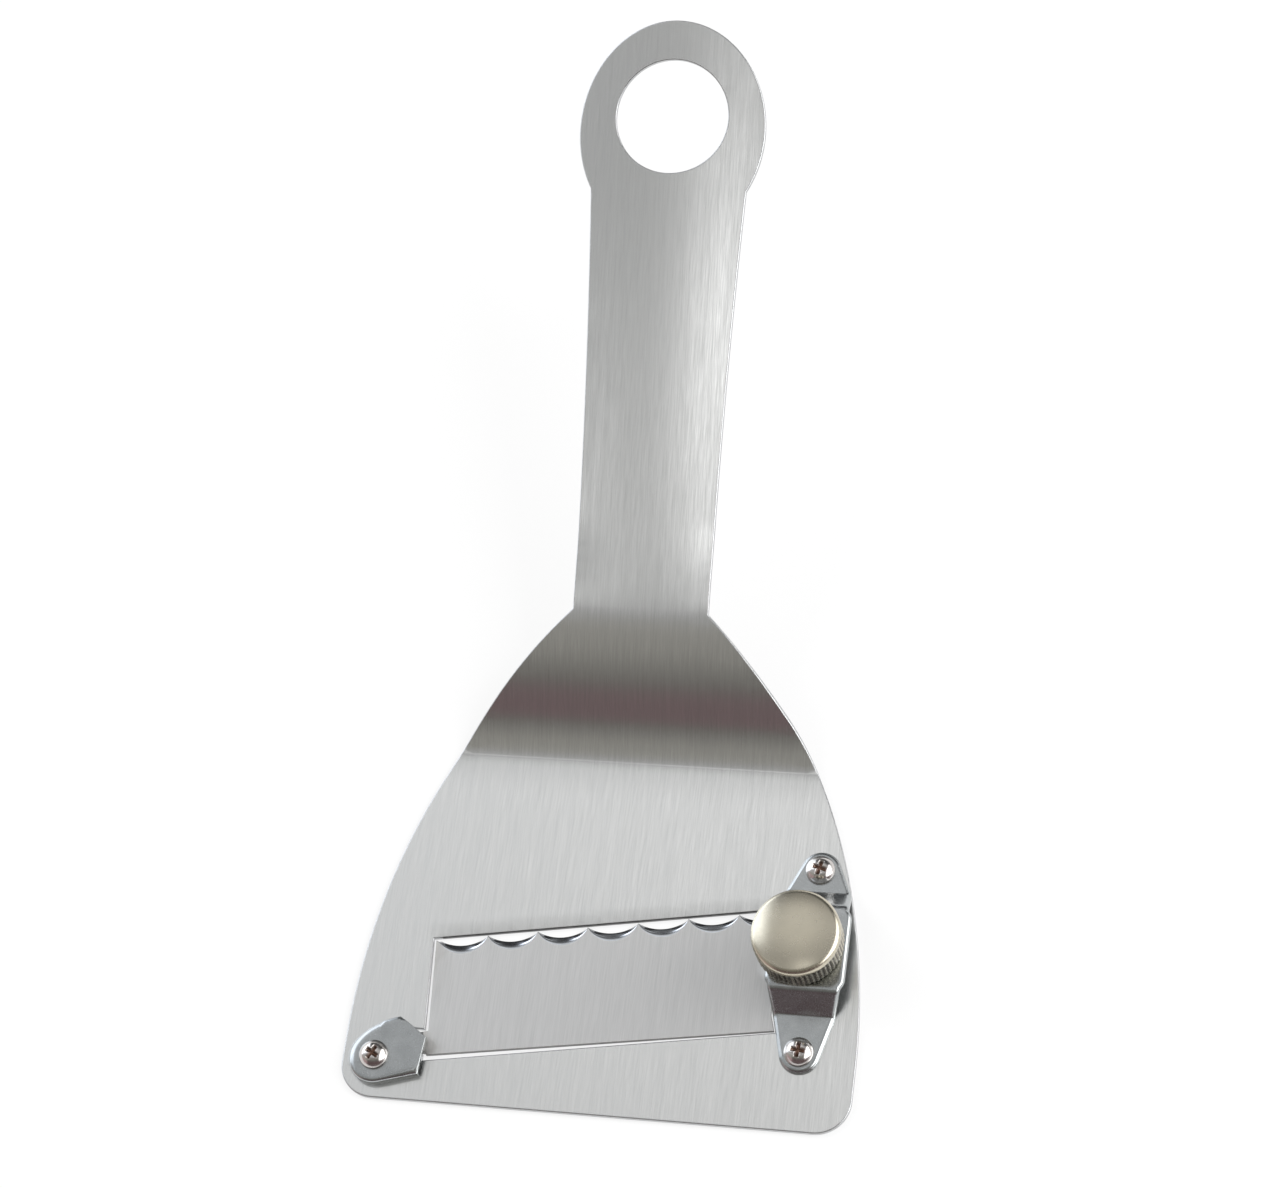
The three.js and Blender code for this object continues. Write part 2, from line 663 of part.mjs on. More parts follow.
// The bridge's hump between two feet, folded from one strip. The lower foot is the longer one.
function bridge() {
  const lowerFoot = LOWER_REACH - BRIDGE_FOLD_HALF;
  const upperFoot = UPPER_REACH - BRIDGE_FOLD_HALF;
  const bend = (sign) => ({ radius: BRIDGE_BEND, turn: sign * riserAngle });
  const steps = [
    { run: FOOT_ROUND + lowerFoot - bendCut },
    bend(1),
    { run: riserLength },
    bend(-1),
    { run: 2 * BRIDGE_TOP_HALF - 2 * bendCut },
    bend(-1),
    { run: riserLength },
    bend(1),
    { run: FOOT_ROUND + upperFoot - bendCut },
  ];
  const start = bridgeY - LOWER_REACH - FOOT_ROUND;
  const line = sideLine(start, footBottom + BRIDGE_SHEET / 2, steps);
  const total = lineLength(steps);
  const foot = (reach, half) => {
    // A round tip, then straight edges that widen to the fold.
    const lean = Math.atan2(half - FOOT_ROUND, reach);
    const first = rad(FOOT_FIRST);
    const tip = new THREE.EllipseCurve(0, FOOT_ROUND, FOOT_ROUND, FOOT_ROUND, first, -lean);
    return [...pairs(tip, 9), [half, FOOT_ROUND + reach]];
  };
  const bends = [];
  let walked = 0;
  for (const step of steps) {
    const length = step.run ?? step.radius * rad(Math.abs(step.turn));
    const pieces = step.run === undefined ? 4 : 1;
    for (let i = 1; i <= pieces; i += 1) {
      bends.push(walked + (length * i) / pieces);
    }
    walked += length;
  }
  const low = foot(lowerFoot, LOWER_FOLD_WIDTH / 2);
  const high = foot(upperFoot, UPPER_FOLD_WIDTH / 2).map(([w, d]) => [w, total - d]).reverse();
  const lowEnd = low.at(-1)[1];
  const highEnd = high[0][1];
  const topStart = lineLength(steps.slice(0, 4));
  const topEnd = lineLength(steps.slice(0, 5));
  const middle = [
    [TOP_FOLD_WIDTH / 2, topStart],
    [BRIDGE_WIDTH / 2, topStart + BRIDGE_CORNER],
    [BRIDGE_WIDTH / 2, topEnd - BRIDGE_CORNER],
    [TOP_FOLD_WIDTH / 2, topEnd],
  ];
  const folds = bends.filter((d) => d > lowEnd && d < highEnd && d !== topStart && d !== topEnd);
  const outline = withRows([...low, ...middle, ...high], folds);
  const strip = formedSheet(line, outline, BRIDGE_SHEET, bridgeX);
  const screwHole = (y) => bar(bridgeX, y, SCREW_DIAMETER / 2 + FIT, 0, footTop + PAST, 20);
  return strip
    .subtract(screwHole(bridgeY + UPPER_REACH))
    .subtract(screwHole(bridgeY - LOWER_REACH))
    .subtract(bar(knobX, bridgeY, BUSH_SHANK / 2 + SEAT, bridgeInside - PAST, bridgeTop + PAST));
}

// The threaded bush, riveted into the bridge's top.
function threadBush() {
  const bore = STEM_DIAMETER / 2 + FIT;
  return turned([
    [bore, bridgeInside],
    [BUSH_SHANK / 2 - SEAT, bridgeInside],
    [BUSH_SHANK / 2 - SEAT, bridgeTop + SEAT],
    [BUSH_FLANGE / 2, bridgeTop + SEAT],
    [BUSH_FLANGE / 2, bushTop],
    [bore, bushTop],
    [bore, bridgeInside],
  ]);
}

// Knob and stem

// A domed knob with a knurled rim and a seat for the stem.
function knob() {
  const radius = KNOB_DIAMETER / 2;
  const rimTop = knobTop - KNOB_CROWN - KNOB_EDGE;
  const edge = new THREE.EllipseCurve(radius - KNOB_EDGE, rimTop, KNOB_EDGE, KNOB_EDGE, 0, Math.PI / 2);
  const profile = [
    [0, knobBottom],
    [radius - KNOB_CHAMFER - KNURL_DEPTH, knobBottom],
    [radius, knobBottom + KNOB_CHAMFER],
    [radius, rimTop - KNOB_CHAMFER],
    ...pairs(edge, 6).slice(1),
    [radius / 3, knobTop - KNOB_CROWN / 8],
    [0, knobTop],
  ];
  const points = profile.map(([r, z]) => new THREE.Vector2(r, z));
  const lathe = new THREE.LatheGeometry(points, 2 * KNOB_RIBS).rotateX(Math.PI / 2);
  const position = lathe.attributes.position;
  const rows = points.length;
  for (let i = 0; i < position.count; i += 1) {
    const column = Math.floor(i / rows);
    const height = position.getZ(i);
    const knurled = height > knobBottom && height < rimTop;
    if (knurled && column % 2 === 1) {
      const shrink = 1 - KNURL_DEPTH / radius;
      position.setX(i, position.getX(i) * shrink);
      position.setY(i, position.getY(i) * shrink);
    }
  }
  const socket = bar(0, 0, STEM_DIAMETER / 2 + SEAT, knobBottom - PAST, knobBottom + KNOB_SOCKET);
  return solid(lathe).subtract(socket);
}

// The stem: a threaded bar that ends in a thinner pin through the blade's tongue.
function adjusterStem() {
  const thread = STEM_DIAMETER / 2;
  const pin = PIN_DIAMETER / 2;
  const end = stemClipBottom;
  const top = knobBottom + KNOB_SOCKET - SEAT;
  return turned([
    [0, end],
    [pin - SEAT, end],
    [pin, end + SEAT],
    [pin, stemShoulder],
    [thread - SEAT, stemShoulder],
    [thread, stemShoulder + SEAT],
    [thread, top - SEAT],
    [thread - SEAT, top],
    [0, top],
  ]);
}

function thrustWasher() {
  const bore = PIN_DIAMETER / 2 + FIT;
  return turned([
    [bore, washerBottom],
    [WASHER_DIAMETER / 2, washerBottom],
    [WASHER_DIAMETER / 2, washerTop],
    [bore, washerTop],
    [bore, washerBottom],
  ]);
}

// The snap ring under the tongue, open on one side.
function stemClip() {
  const outer = STEM_CLIP_DIAMETER / 2;
  const inner = PIN_DIAMETER / 2 + SEAT;
  const open = (radius) => Math.asin(STEM_CLIP_MOUTH / 2 / radius);
  const shape = new THREE.Shape();
  shape.absarc(0, 0, outer, open(outer), 2 * Math.PI - open(outer), false);
  shape.absarc(0, 0, inner, 2 * Math.PI - open(inner), open(inner), true);
  return prism(shape, stemClipBottom, stemClipBottom + STEM_CLIP_THICKNESS, 28);
}

// Materials

const finish = (color, roughness, metalness) =>
  new THREE.MeshStandardMaterial({ color, roughness, metalness });
const brushedSteel = finish(0xc3c4c1, 0.42, 1);
const bladeSteel = finish(0xc0c1be, 0.36, 1);
const pressedSteel = finish(0xaeb4b6, 0.22, 1);
const nickel = finish(0xc9c2b2, 0.18, 1);
const screwSteel = finish(0xcfcac6, 0.2, 1);
const darkSteel = finish(0x9a9a98, 0.4, 1);

// Assembly

function piece(name, body, material, x = 0, y = 0) {
  const mesh = new THREE.Mesh(geometryOf(body), material);
  mesh.name = name;
  mesh.position.set(x, y, 0);
  return mesh;
}

const frontEnd = bodyLine(0).y;
const ringEnd = bodyLine(ringCentre + RING_LENGTH / 2);
const backEnd = ringEnd.y + (SHEET / 2) * Math.sin(ringEnd.slope);

const assembly = new THREE.Group();
assembly.position.y = -(frontEnd + backEnd) / 2;
assembly.add(
  piece("body_plate", bodyPlate(), brushedSteel),
  piece("blade", blade(), bladeSteel),
  piece("blade_clip", bladeClip(), pressedSteel, clipX, clipY),
  piece("clip_screw", panScrew(clipTop), screwSteel, ...screwPlaces[0]),
  piece("bridge", bridge(), pressedSteel),
  piece("bridge_screw_upper", panScrew(footTop), screwSteel, ...screwPlaces[1]),
  piece("bridge_screw_lower", panScrew(footTop), screwSteel, ...screwPlaces[2]),
  piece("thread_bush", threadBush(), darkSteel, knobX, bridgeY),
  piece("knob", knob(), nickel, knobX, bridgeY),
  piece("adjuster_stem", adjusterStem(), darkSteel, knobX, bridgeY),
  piece("thrust_washer", thrustWasher(), darkSteel, knobX, bridgeY),
  piece("stem_clip", stemClip(), darkSteel, knobX, bridgeY),
);

const shaver = new THREE.Group();
shaver.add(assembly);

export default shaver;
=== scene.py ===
"""Truffle shaver: finished surfaces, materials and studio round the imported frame.

Shapes are worked out in millimetres in the part's own plan: x to the right, y = 0 on the line where the
crease up into the neck starts, z = 0 on the plate's underside. build() moves them into the frame, in metres.
"""

import math

import bpy
import numpy as np
from mathutils import Matrix, Vector
from mathutils.geometry import delaunay_2d_cdt

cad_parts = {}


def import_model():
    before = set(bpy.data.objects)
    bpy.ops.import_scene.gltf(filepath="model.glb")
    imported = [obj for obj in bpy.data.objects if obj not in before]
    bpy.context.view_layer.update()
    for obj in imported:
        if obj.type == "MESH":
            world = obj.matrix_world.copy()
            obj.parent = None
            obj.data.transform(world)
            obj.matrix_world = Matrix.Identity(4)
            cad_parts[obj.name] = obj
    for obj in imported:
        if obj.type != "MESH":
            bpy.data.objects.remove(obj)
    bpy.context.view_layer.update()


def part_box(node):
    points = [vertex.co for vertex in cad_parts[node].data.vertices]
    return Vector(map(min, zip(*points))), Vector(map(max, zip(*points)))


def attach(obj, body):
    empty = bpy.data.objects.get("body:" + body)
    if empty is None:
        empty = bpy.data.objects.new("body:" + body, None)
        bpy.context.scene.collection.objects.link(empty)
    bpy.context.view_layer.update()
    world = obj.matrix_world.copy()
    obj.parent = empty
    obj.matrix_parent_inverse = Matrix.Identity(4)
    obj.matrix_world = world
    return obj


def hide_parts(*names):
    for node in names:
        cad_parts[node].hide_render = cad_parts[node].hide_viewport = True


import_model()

MM = 0.001
SLIVER = 1e-5  # area in square millimetres below which a triangle is only rounding
SAME_POINT = 1e-6  # distance below which two points are one
MERGE_REACH = 1e-7  # distance within which the triangulation merges points
MITRE_LEAST = 0.4  # keeps the mitre of a sharp corner short
GAP_BATCHES = 12  # parts that long edges are compared in, to save memory

# Spacing of points and grid lines
EDGE_STEP = 1.5  # along straight edges
FINE_STEP = 0.4  # along short edges and over the window's drawn edge
STRIP_STEP = 0.3  # along the bridge's edges
OPEN_STEP = 3.0  # over the plate and the handle
LEAD_STEP = 2.0  # over the plate's start of the fold
FOLD_STEP = 0.1  # over the crease
NECK_STEP = 0.5  # over the neck
BLADE_STEP = 2.5
CLIP_STEP = 1.5
BRIDGE_STEP = 1.5  # across the bridge
BRIDGE_ROWS = 0.25  # along it
RING_STEP = 0.5  # over the snap ring
DOME_SPAN = (0.985, 0.01)  # first and last row of a dome, in shares of its radius

# Distance from its rim within which a sheet has no grid points
PLATE_CLEAR = 0.7
BLADE_CLEAR = 0.5
CLIP_CLEAR = 0.4
BRIDGE_CLEAR = 0.2
RING_CLEAR = 0.25

# Body sheet. From here to the clearances, a size without a comment is as in the solid.
SHEET = 1.0
PLATE_LENGTH = 62.1
PLATE_WIDTH = 88.0
PLATE_CORNER = 6.0
PLATE_SIDE = 11.0
NECK_WIDTH = 24.0
NECK_RISE = 15.3
NECK_CREASE = 27.0
NECK_CREASE_BEND = 3.0
NECK_SLOPE = 45.0
NECK_LOWER_BEND = 30.0
NECK_STRAIGHT = 0.2
FOLD_LEAD = 4.5  # length over which the plate starts to lift before the crease
FOLD_LIFT = 5.0  # slope it gains there, in degrees
CREASE_LEAD = 0.9  # length over which it lifts faster, into the crease
CREASE_LIFT = 4.0  # slope it gains there, in degrees
CREASE_TAIL = 2.4  # length over which the neck still turns after the crease
CREASE_TURN = 7.0  # the turn left for it, in degrees
NECK_TAIL = 4.0  # length over which the handle still turns after the upper bend
TAIL_TURN = 1.2  # the turn left for it, in degrees
SHOULDER_ANGLE = 45.5
SHOULDER_PULL = 42.5
SIDE_PULL = 12.5
HANDLE_PITCH = 20.5
HANDLE_LENGTH = 86.8
HANDLE_END_WIDTH = 27.8
RING_WIDTH = 33.2
RING_LENGTH = 38.6
HOLE_DIAMETER = 20.0
HOLE_OFFSET = 2.3
HANDLE_CROWN = 110.0  # radius of the handle's slight crown, across it
CROWN_START = 16.0  # length over which the crown fades in past the neck
SHEET_EDGE = 0.2  # rounding of the cut edges
WINDOW_ROLL = 2.4  # width over which the punch has drawn the face down along the window's upper edge
WINDOW_DRAW = 0.18  # depth it has drawn it down there
WINDOW_FADE = 1.0  # half the length over which that starts, at the window's left end
FLAT_GUARD = 0.5  # how far inside a rounding the flat's guard row lies, in roundings
SHARP = 34.0  # angle between faces, in degrees, from which an edge stays sharp

# Window and blade
WINDOW_INSET = 12.6
WINDOW_REACH = 28.9
WINDOW_END = 1.4
WINDOW_HEIGHT = 22.0
WINDOW_TILT = 9.1
WINDOW_LEAN = 3.7
BLADE_THICKNESS = 0.8
BLADE_SIDE_GAP = 0.55
BLADE_EDGE_GAP = 0.2
BLADE_HEEL_GAP = 0.9
BLADE_HEEL_TAPER = 0.6
BLADE_EDGE = 0.08  # rounding of its plain edges
TOOTH_PITCH = 8.75
TOOTH_DEPTH = 1.35
TOOTH_BEVEL = 1.25
TOOTH_LAND = 0.1
TOOTH_BROW = 0.4  # rounding where the bevel meets the upper face
TOOTH_START = 0.78
TOOTH_POINT = 0.1  # fall of the bevel's ridge at a tooth's point, for each millimetre of depth
LAND_DROP = 0.3

# Clip, blade eye and the notch under them
CLIP_INSET = 6.1
CLIP_REACH = 6.8
CLIP_ROUND = 4.7
CLIP_ROUND_FROM = 150.0
CLIP_ROUND_TO = 285.0
CLIP_EDGE_LOW = (7.9, -2.6)
CLIP_EDGE_HIGH = (8.5, 3.9)
CLIP_PEAK = (3.4, 7.3)
CLIP_SHOULDER = (-1.6, 6.0)
CLIP_ROLL = 1.3  # rounding of the pressed edge along its upper left
CLIP_ROLL_LOW = 0.7  # the same along its lower side
CLIP_ROLL_FADE = 1.2  # length over which the rounding dies out along the sheared edge
CLIP_SHEARED = 0.12  # rounding of the edge over the blade
CLIP_WALL = 0.8
EYE_ROUND = 3.1
EYE_ARC_FROM = 65.0
EYE_ARC_TO = 290.0
EYE_SLACK = 0.65
EYE_LIFT_ROOM = 0.35
EYE_FLOOR_ROOM = 0.15
EYE_ROOT_RISE = 5.6
EYE_ROOT_WIDTH = 4.0
NOTCH_DEPTH = 2.4
NOTCH_GAP = 0.2

# Bridge
BRIDGE_INSET = 9.6
BRIDGE_REACH = 30.6
BRIDGE_SHEET = 1.0
BRIDGE_WIDTH = 13.6
TOP_FOLD_WIDTH = 12.5
UPPER_FOLD_WIDTH = 11.5
LOWER_FOLD_WIDTH = 10.7
BRIDGE_CORNER = 1.5
BRIDGE_TOP_HALF = 7.2
BRIDGE_FOLD_HALF = 10.7
BRIDGE_BEND = 1.0
BRIDGE_ROLL = 0.8  # rounding of the strip's upper edge, rolled over by its punch
BRIDGE_EDGE = 0.1  # rounding of its other edges
FOOT_ROUND = 3.5
UPPER_REACH = 14.9
LOWER_REACH = 17.3

# Knob, stem and what rides on it
THREAD_PITCH = 0.7
KNOB_TURNS = 2
LIFT_ROOM = 0.1
THREAD_DEPTH = 0.3  # of the groove, below the stem's full radius
THREAD_START = 0.2  # plain length above the stem's shoulder
THREAD_PAST = 0.1  # how far the thread runs into the knob
THREAD_RUNOUT = 0.2  # length over which it ends there
KNOB_OFFSET = 1.1
KNOB_DIAMETER = 15.2
KNOB_HEIGHT = 7.0
KNOB_EDGE = 1.3  # rounding of the cap's rim
KNOB_LEAN = 16.0  # slope of the cap where that rounding starts, in degrees
KNOB_DOME = 2.5  # power of the cap's curve
KNOB_CHAMFER = 0.5
KNOB_RIBS = 56
KNURL_DEPTH = 0.25
KNURL_POWER = 0.8  # below 1 the ribs are narrower than the grooves
KNURL_START = 0.6  # share of the knurl's depth just above the lower chamfer
KNURL_STOP = 0.5  # share of it at the top of the rim
KNURL_ROWS = (0.8, 1.3, 2.0)  # heights of the knurl's lowest rows over the knob's lower face, in chamfers
KNOB_SOCKET = 5.0
STEM_DIAMETER = 4.0
PIN_DIAMETER = 2.4
BUSH_FLANGE = 8.0
BUSH_FLANGE_HEIGHT = 0.9
BUSH_SHANK = 5.6
WASHER_DIAMETER = 6.0
WASHER_THICKNESS = 0.4
STEM_CLIP_DIAMETER = 5.2
STEM_CLIP_THICKNESS = 0.6
STEM_CLIP_EDGE = 0.08  # rounding of its edges
STEM_CLIP_MOUTH = 1.5
TONGUE_WIDTH = 10.2  # 1 mm less than in the solid
TONGUE_STEP = 1.4
TONGUE_END = 4.2
TONGUE_CORNER = 2.0  # rounding of its corners in plan
TONGUE_SLACK = 0.4

# Screws
SCREW_DIAMETER = 2.5
HEAD_DIAMETER = 5.0
HEAD_HEIGHT = 1.8
HEAD_DROP = 1.35  # fall of the dome from its middle to its rim
HEAD_DOME = 3.0  # power of the dome's curve
RECESS_WIDTH = 0.5  # of an arm halfway down its sloping walls
RECESS_LENGTH = 2.2  # of two arms in line, measured there too
RECESS_DEPTH = 0.7  # below the dome
RECESS_WALL = 0.4  # width of a sloping wall in plan

# Clearances
SEAT = 0.05
FIT = 0.1
RUN = 0.15
BRIDGE_GAP = 0.3

# Heights that several pieces share
plate_top = SHEET
blade_bottom = plate_top - BLADE_THICKNESS
eye_bottom = plate_top + EYE_FLOOR_ROOM
eye_top = eye_bottom + BLADE_THICKNESS
clip_bottom = plate_top + SEAT
clip_inside = eye_top + EYE_LIFT_ROOM
clip_top = clip_inside + CLIP_WALL
foot_bottom = plate_top + SEAT
foot_top = foot_bottom + BRIDGE_SHEET
stem_clip_bottom = plate_top + BRIDGE_GAP
tongue_bottom = stem_clip_bottom + STEM_CLIP_THICKNESS + RUN
tongue_top = tongue_bottom + BLADE_THICKNESS
washer_bottom = tongue_top + RUN
washer_top = washer_bottom + WASHER_THICKNESS
stem_shoulder = washer_top + SEAT
bridge_inside = washer_top + THREAD_PITCH * KNOB_TURNS + LIFT_ROOM
bridge_top = bridge_inside + BRIDGE_SHEET
bush_top = bridge_top + SEAT + BUSH_FLANGE_HEIGHT
knob_bottom = bush_top + BRIDGE_GAP
knob_top = knob_bottom + KNOB_HEIGHT

# Places in plan
front_edge = -PLATE_LENGTH
clip_x = CLIP_INSET - PLATE_WIDTH / 2
clip_y = front_edge + CLIP_REACH
bridge_x = PLATE_WIDTH / 2 - BRIDGE_INSET
bridge_y = front_edge + BRIDGE_REACH
knob_x = bridge_x - KNOB_OFFSET
fold_y = bridge_y - BRIDGE_FOLD_HALF
window_left = WINDOW_INSET - PLATE_WIDTH / 2
window_right = bridge_x - WINDOW_END
window_top = front_edge + WINDOW_REACH
eye_root_top = clip_y + EYE_ROOT_RISE
eye_root_bottom = eye_root_top - EYE_ROOT_WIDTH

# The plate's front edge ties the plan to the frame.
plan_to_frame = np.array([0.0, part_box("body_plate")[0].y / MM + PLATE_LENGTH, 0.0])


# Curves in plan, each an array of points

def soft_step(value, start, stop):
    """0 before start, 1 after stop, an S-curve between."""
    t = np.clip((value - start) / (stop - start), 0, 1)
    return t * t * (3 - 2 * t)


def ellipse(x, y, across, along, start, stop, count):
    """Points on an ellipse between two angles in degrees."""
    angle = np.radians(np.linspace(start, stop, count))
    return np.column_stack([x + across * np.cos(angle), y + along * np.sin(angle)])


def arc(x, y, radius, start, stop, count):
    """Points on a circle between two angles in degrees."""
    return ellipse(x, y, radius, radius, start, stop, count)


def bezier(count, *poles):
    """Points on a Bezier curve: each pole weighed by its Bernstein polynomial."""
    t = np.linspace(0, 1, count)[:, None]
    degree = len(poles) - 1
    weight = [math.comb(degree, k) * t**k * (1 - t) ** (degree - k) for k in range(degree + 1)]
    return sum(w * np.array(pole) for w, pole in zip(weight, poles))


def line(start, stop, step):
    """Points along a straight line, about a step apart."""
    start, stop = np.array(start, float), np.array(stop, float)
    count = max(2, int(round(np.linalg.norm(stop - start) / step)) + 1)
    return start + (stop - start) * np.linspace(0, 1, count)[:, None]


def chain(*curves):
    """Curves joined end to end, each point that repeats the one before it left out."""
    points = np.concatenate(curves)
    moved = np.linalg.norm(points - np.roll(points, 1, axis=0), axis=1) > SAME_POINT
    return points[moved]


def circle_hole(x, y, radius, count):
    """A round hole's outline, walked clockwise."""
    return arc(x, y, radius, 360, 0, count + 1)[:-1]


def screw_hole(x, y):
    """The outline of the hole that a screw passes through."""
    return circle_hole(x, y, SCREW_DIAMETER / 2 + FIT, 32)


def outward(loop):
    """At each point of a closed loop, the way out of the material, as long as the corner's mitre needs."""
    ahead = np.roll(loop, -1, axis=0) - loop
    ahead /= np.linalg.norm(ahead, axis=1, keepdims=True)
    behind = np.roll(ahead, 1, axis=0)
    normal_a = np.column_stack([ahead[:, 1], -ahead[:, 0]])
    normal_b = np.column_stack([behind[:, 1], -behind[:, 0]])
    middle = normal_a + normal_b
    return middle / np.maximum(1 + np.sum(normal_a * normal_b, axis=1, keepdims=True), MITRE_LEAST)


def inside(points, loops):
    """Which points lie inside the loops, by counting the edges that a ray to the right crosses."""
    crossings = np.zeros(len(points), int)
    for loop in loops:
        start, stop = loop, np.roll(loop, -1, axis=0)
        x, y = points[:, :1], points[:, 1:]
        spans = (start[:, 1] > y) != (stop[:, 1] > y)
        rise = np.where(stop[:, 1] == start[:, 1], 1.0, stop[:, 1] - start[:, 1])
        at = start[:, 0] + (y - start[:, 1]) * (stop[:, 0] - start[:, 0]) / rise
        crossings += np.sum(spans & (x < at), axis=1)
    return crossings % 2 == 1


def plan_grid(loops, across, along, clear):
    """Grid points inside the loops, those closer to an edge than clear left out."""
    x, y = np.meshgrid(across, along)
    points = np.column_stack([x.ravel(), y.ravel()])
    points = points[inside(points, loops)]
    edges = np.concatenate(loops)
    for part in np.array_split(edges, GAP_BATCHES):
        gap = np.linalg.norm(points[:, None] - part[None], axis=2).min(axis=1)
        points = points[gap > clear]
    return points


def triangulate(loops, grid):
    """Triangles that fill the loops and use the grid points, by constrained Delaunay triangulation. The
    material is on the left of each loop edge, so a triangle that runs along one is kept and one that runs
    against it is dropped. The others are kept if their middle is inside and they are more than rounding."""
    points = np.concatenate([*loops, grid])
    after = np.full(len(points), -1)
    first = 0
    for loop in loops:
        here = np.arange(len(loop)) + first
        after[here] = np.roll(here, -1)
        first += len(loop)
    edges = np.column_stack([np.arange(first), after[:first]]).tolist()
    made = delaunay_2d_cdt([tuple(p) for p in points], edges, [], 0, MERGE_REACH, True)
    origin = np.array([ids[0] for ids in made[3]])
    triangles = origin[np.array(made[2])]
    ahead = np.roll(triangles, -1, axis=1)
    along = np.any(after[triangles] == ahead, axis=1)
    against = np.any(after[ahead] == triangles, axis=1)
    a, b, c = (points[triangles[:, k]] for k in range(3))
    area = np.cross(b - a, c - a) / 2
    free = inside((a + b + c) / 3, loops) & (area > SLIVER)
    return triangles[~against & (along | free)]


# Sheets: a flat pattern with an edge profile, then bent

def edge_profile(thickness, upper, lower, steps):
    """The section of a sheet's rim as (inset, height) rows from its upper to its lower face. Each edge is
    rounded: at angle a the outline draws in by edge * (1 - cos a) and lies edge * (1 - sin a) inside the
    face. One more row on each face keeps the rounding's shading out of the flat."""
    angle = np.radians(np.linspace(90, 0, steps + 1))
    rise = np.concatenate([[1], np.sin(angle)])
    draw = np.concatenate([[1 + FLAT_GUARD], 1 - np.cos(angle)])
    inset = np.concatenate([upper * draw, lower * draw[::-1]])
    height = np.concatenate([thickness / 2 - upper * (1 - rise), lower * (1 - rise[::-1]) - thickness / 2])
    return inset, height


def edge_rings(loops, thickness, edge, steps, roll=None):
    """The rim of a flat sheet as rings, each one (outline, height) pair for each loop. The edges are rounded
    alike, but the first loop's upper edge can have a larger rounding, the roll."""
    rims = []
    for number, loop in enumerate(loops):
        inset, height = edge_profile(thickness, roll if roll and number == 0 else edge, edge, steps)
        rims.append([(loop - i * outward(loop), np.full(len(loop), h)) for i, h in zip(inset, height)])
    return [list(ring) for ring in zip(*rims)]


def multiples(values, step):
    """The multiples of a step from the lowest to the highest of some values."""
    return np.arange(math.ceil(values.min() / step), math.floor(values.max() / step) + 1) * step


def sheet(rings, step, clear, rows=None):
    """A closed sheet from rim rings: quads between neighbouring rings, the first ring filled as the upper
    face and the last as the lower face, over a grid of some step or with its own rows, clear of the rim.
    Gives flat points (x, y, height), faces, and for each face the number of its gap between rings and its
    place along the rim, -1 for the two fills."""
    edge = np.concatenate([outline for outline, _ in rings[0]])
    rim = len(edge)
    across = multiples(edge[:, 0], step)
    along = multiples(edge[:, 1], step) if rows is None else rows
    points = [np.column_stack(pair) for ring in rings for pair in ring]
    count = rim * len(rings)
    faces, gap, place = [], [], []
    start = 0
    for outline, _ in rings[0]:
        here = np.arange(len(outline)) + start
        after = np.roll(here, -1)
        for number in range(len(rings) - 1):
            upper, lower = number * rim, (number + 1) * rim
            faces += np.column_stack([upper + here, lower + here, lower + after, upper + after]).tolist()
            gap.append(np.full(len(here), number))
            place.append(here)
        start += len(outline)
    for ring, base, order in ((rings[0], 0, 1), (rings[-1], count - rim, -1)):
        loops = [outline for outline, _ in ring]
        grid = plan_grid(loops, across, along, clear)
        triangles = triangulate(loops, grid)
        triangles = np.where(triangles < rim, base + triangles, count - rim + triangles)
        faces += triangles[:, ::order].tolist()
        gap.append(np.full(len(triangles), -1))
        place.append(np.full(len(triangles), -1))
        points.append(np.column_stack([grid, np.full(len(grid), ring[0][1][0])]))
        count += len(grid)
    return np.concatenate(points), faces, np.concatenate(gap), np.concatenate(place)


def side_line(start, height, steps):
    """The side view of a bent strip, walked along its length. A step is (length, turn in degrees): a bend of
    length s that turns by t is an arc, so its chord is s * sin(t/2) / (t/2) at the middle slope."""
    def walk(distance):
        y = np.full_like(distance, start)
        z = np.full_like(distance, height)
        slope = np.zeros_like(distance)
        left = distance.copy()
        for length, turn in steps:
            used = np.clip(left, 0, length)
            half = np.radians(turn) * used / length / 2
            chord = used * np.sinc(half / np.pi)
            y += chord * np.cos(slope + half)
            z += chord * np.sin(slope + half)
            slope += 2 * half
            left -= used
        return y, z, slope
    return walk


def bend(flat, walk):
    """A flat pattern's points carried along a side line: across stays x, and height goes along the sheet's
    normal."""
    y, z, slope = walk(flat[:, 1])
    return np.column_stack([flat[:, 0], y - flat[:, 2] * np.sin(slope), z + flat[:, 2] * np.cos(slope)])


# Meshes

def add(name, data):
    """A new object in the scene for a mesh, lamp or camera."""
    thing = bpy.data.objects.new(name, data)
    bpy.context.scene.collection.objects.link(thing)
    return thing


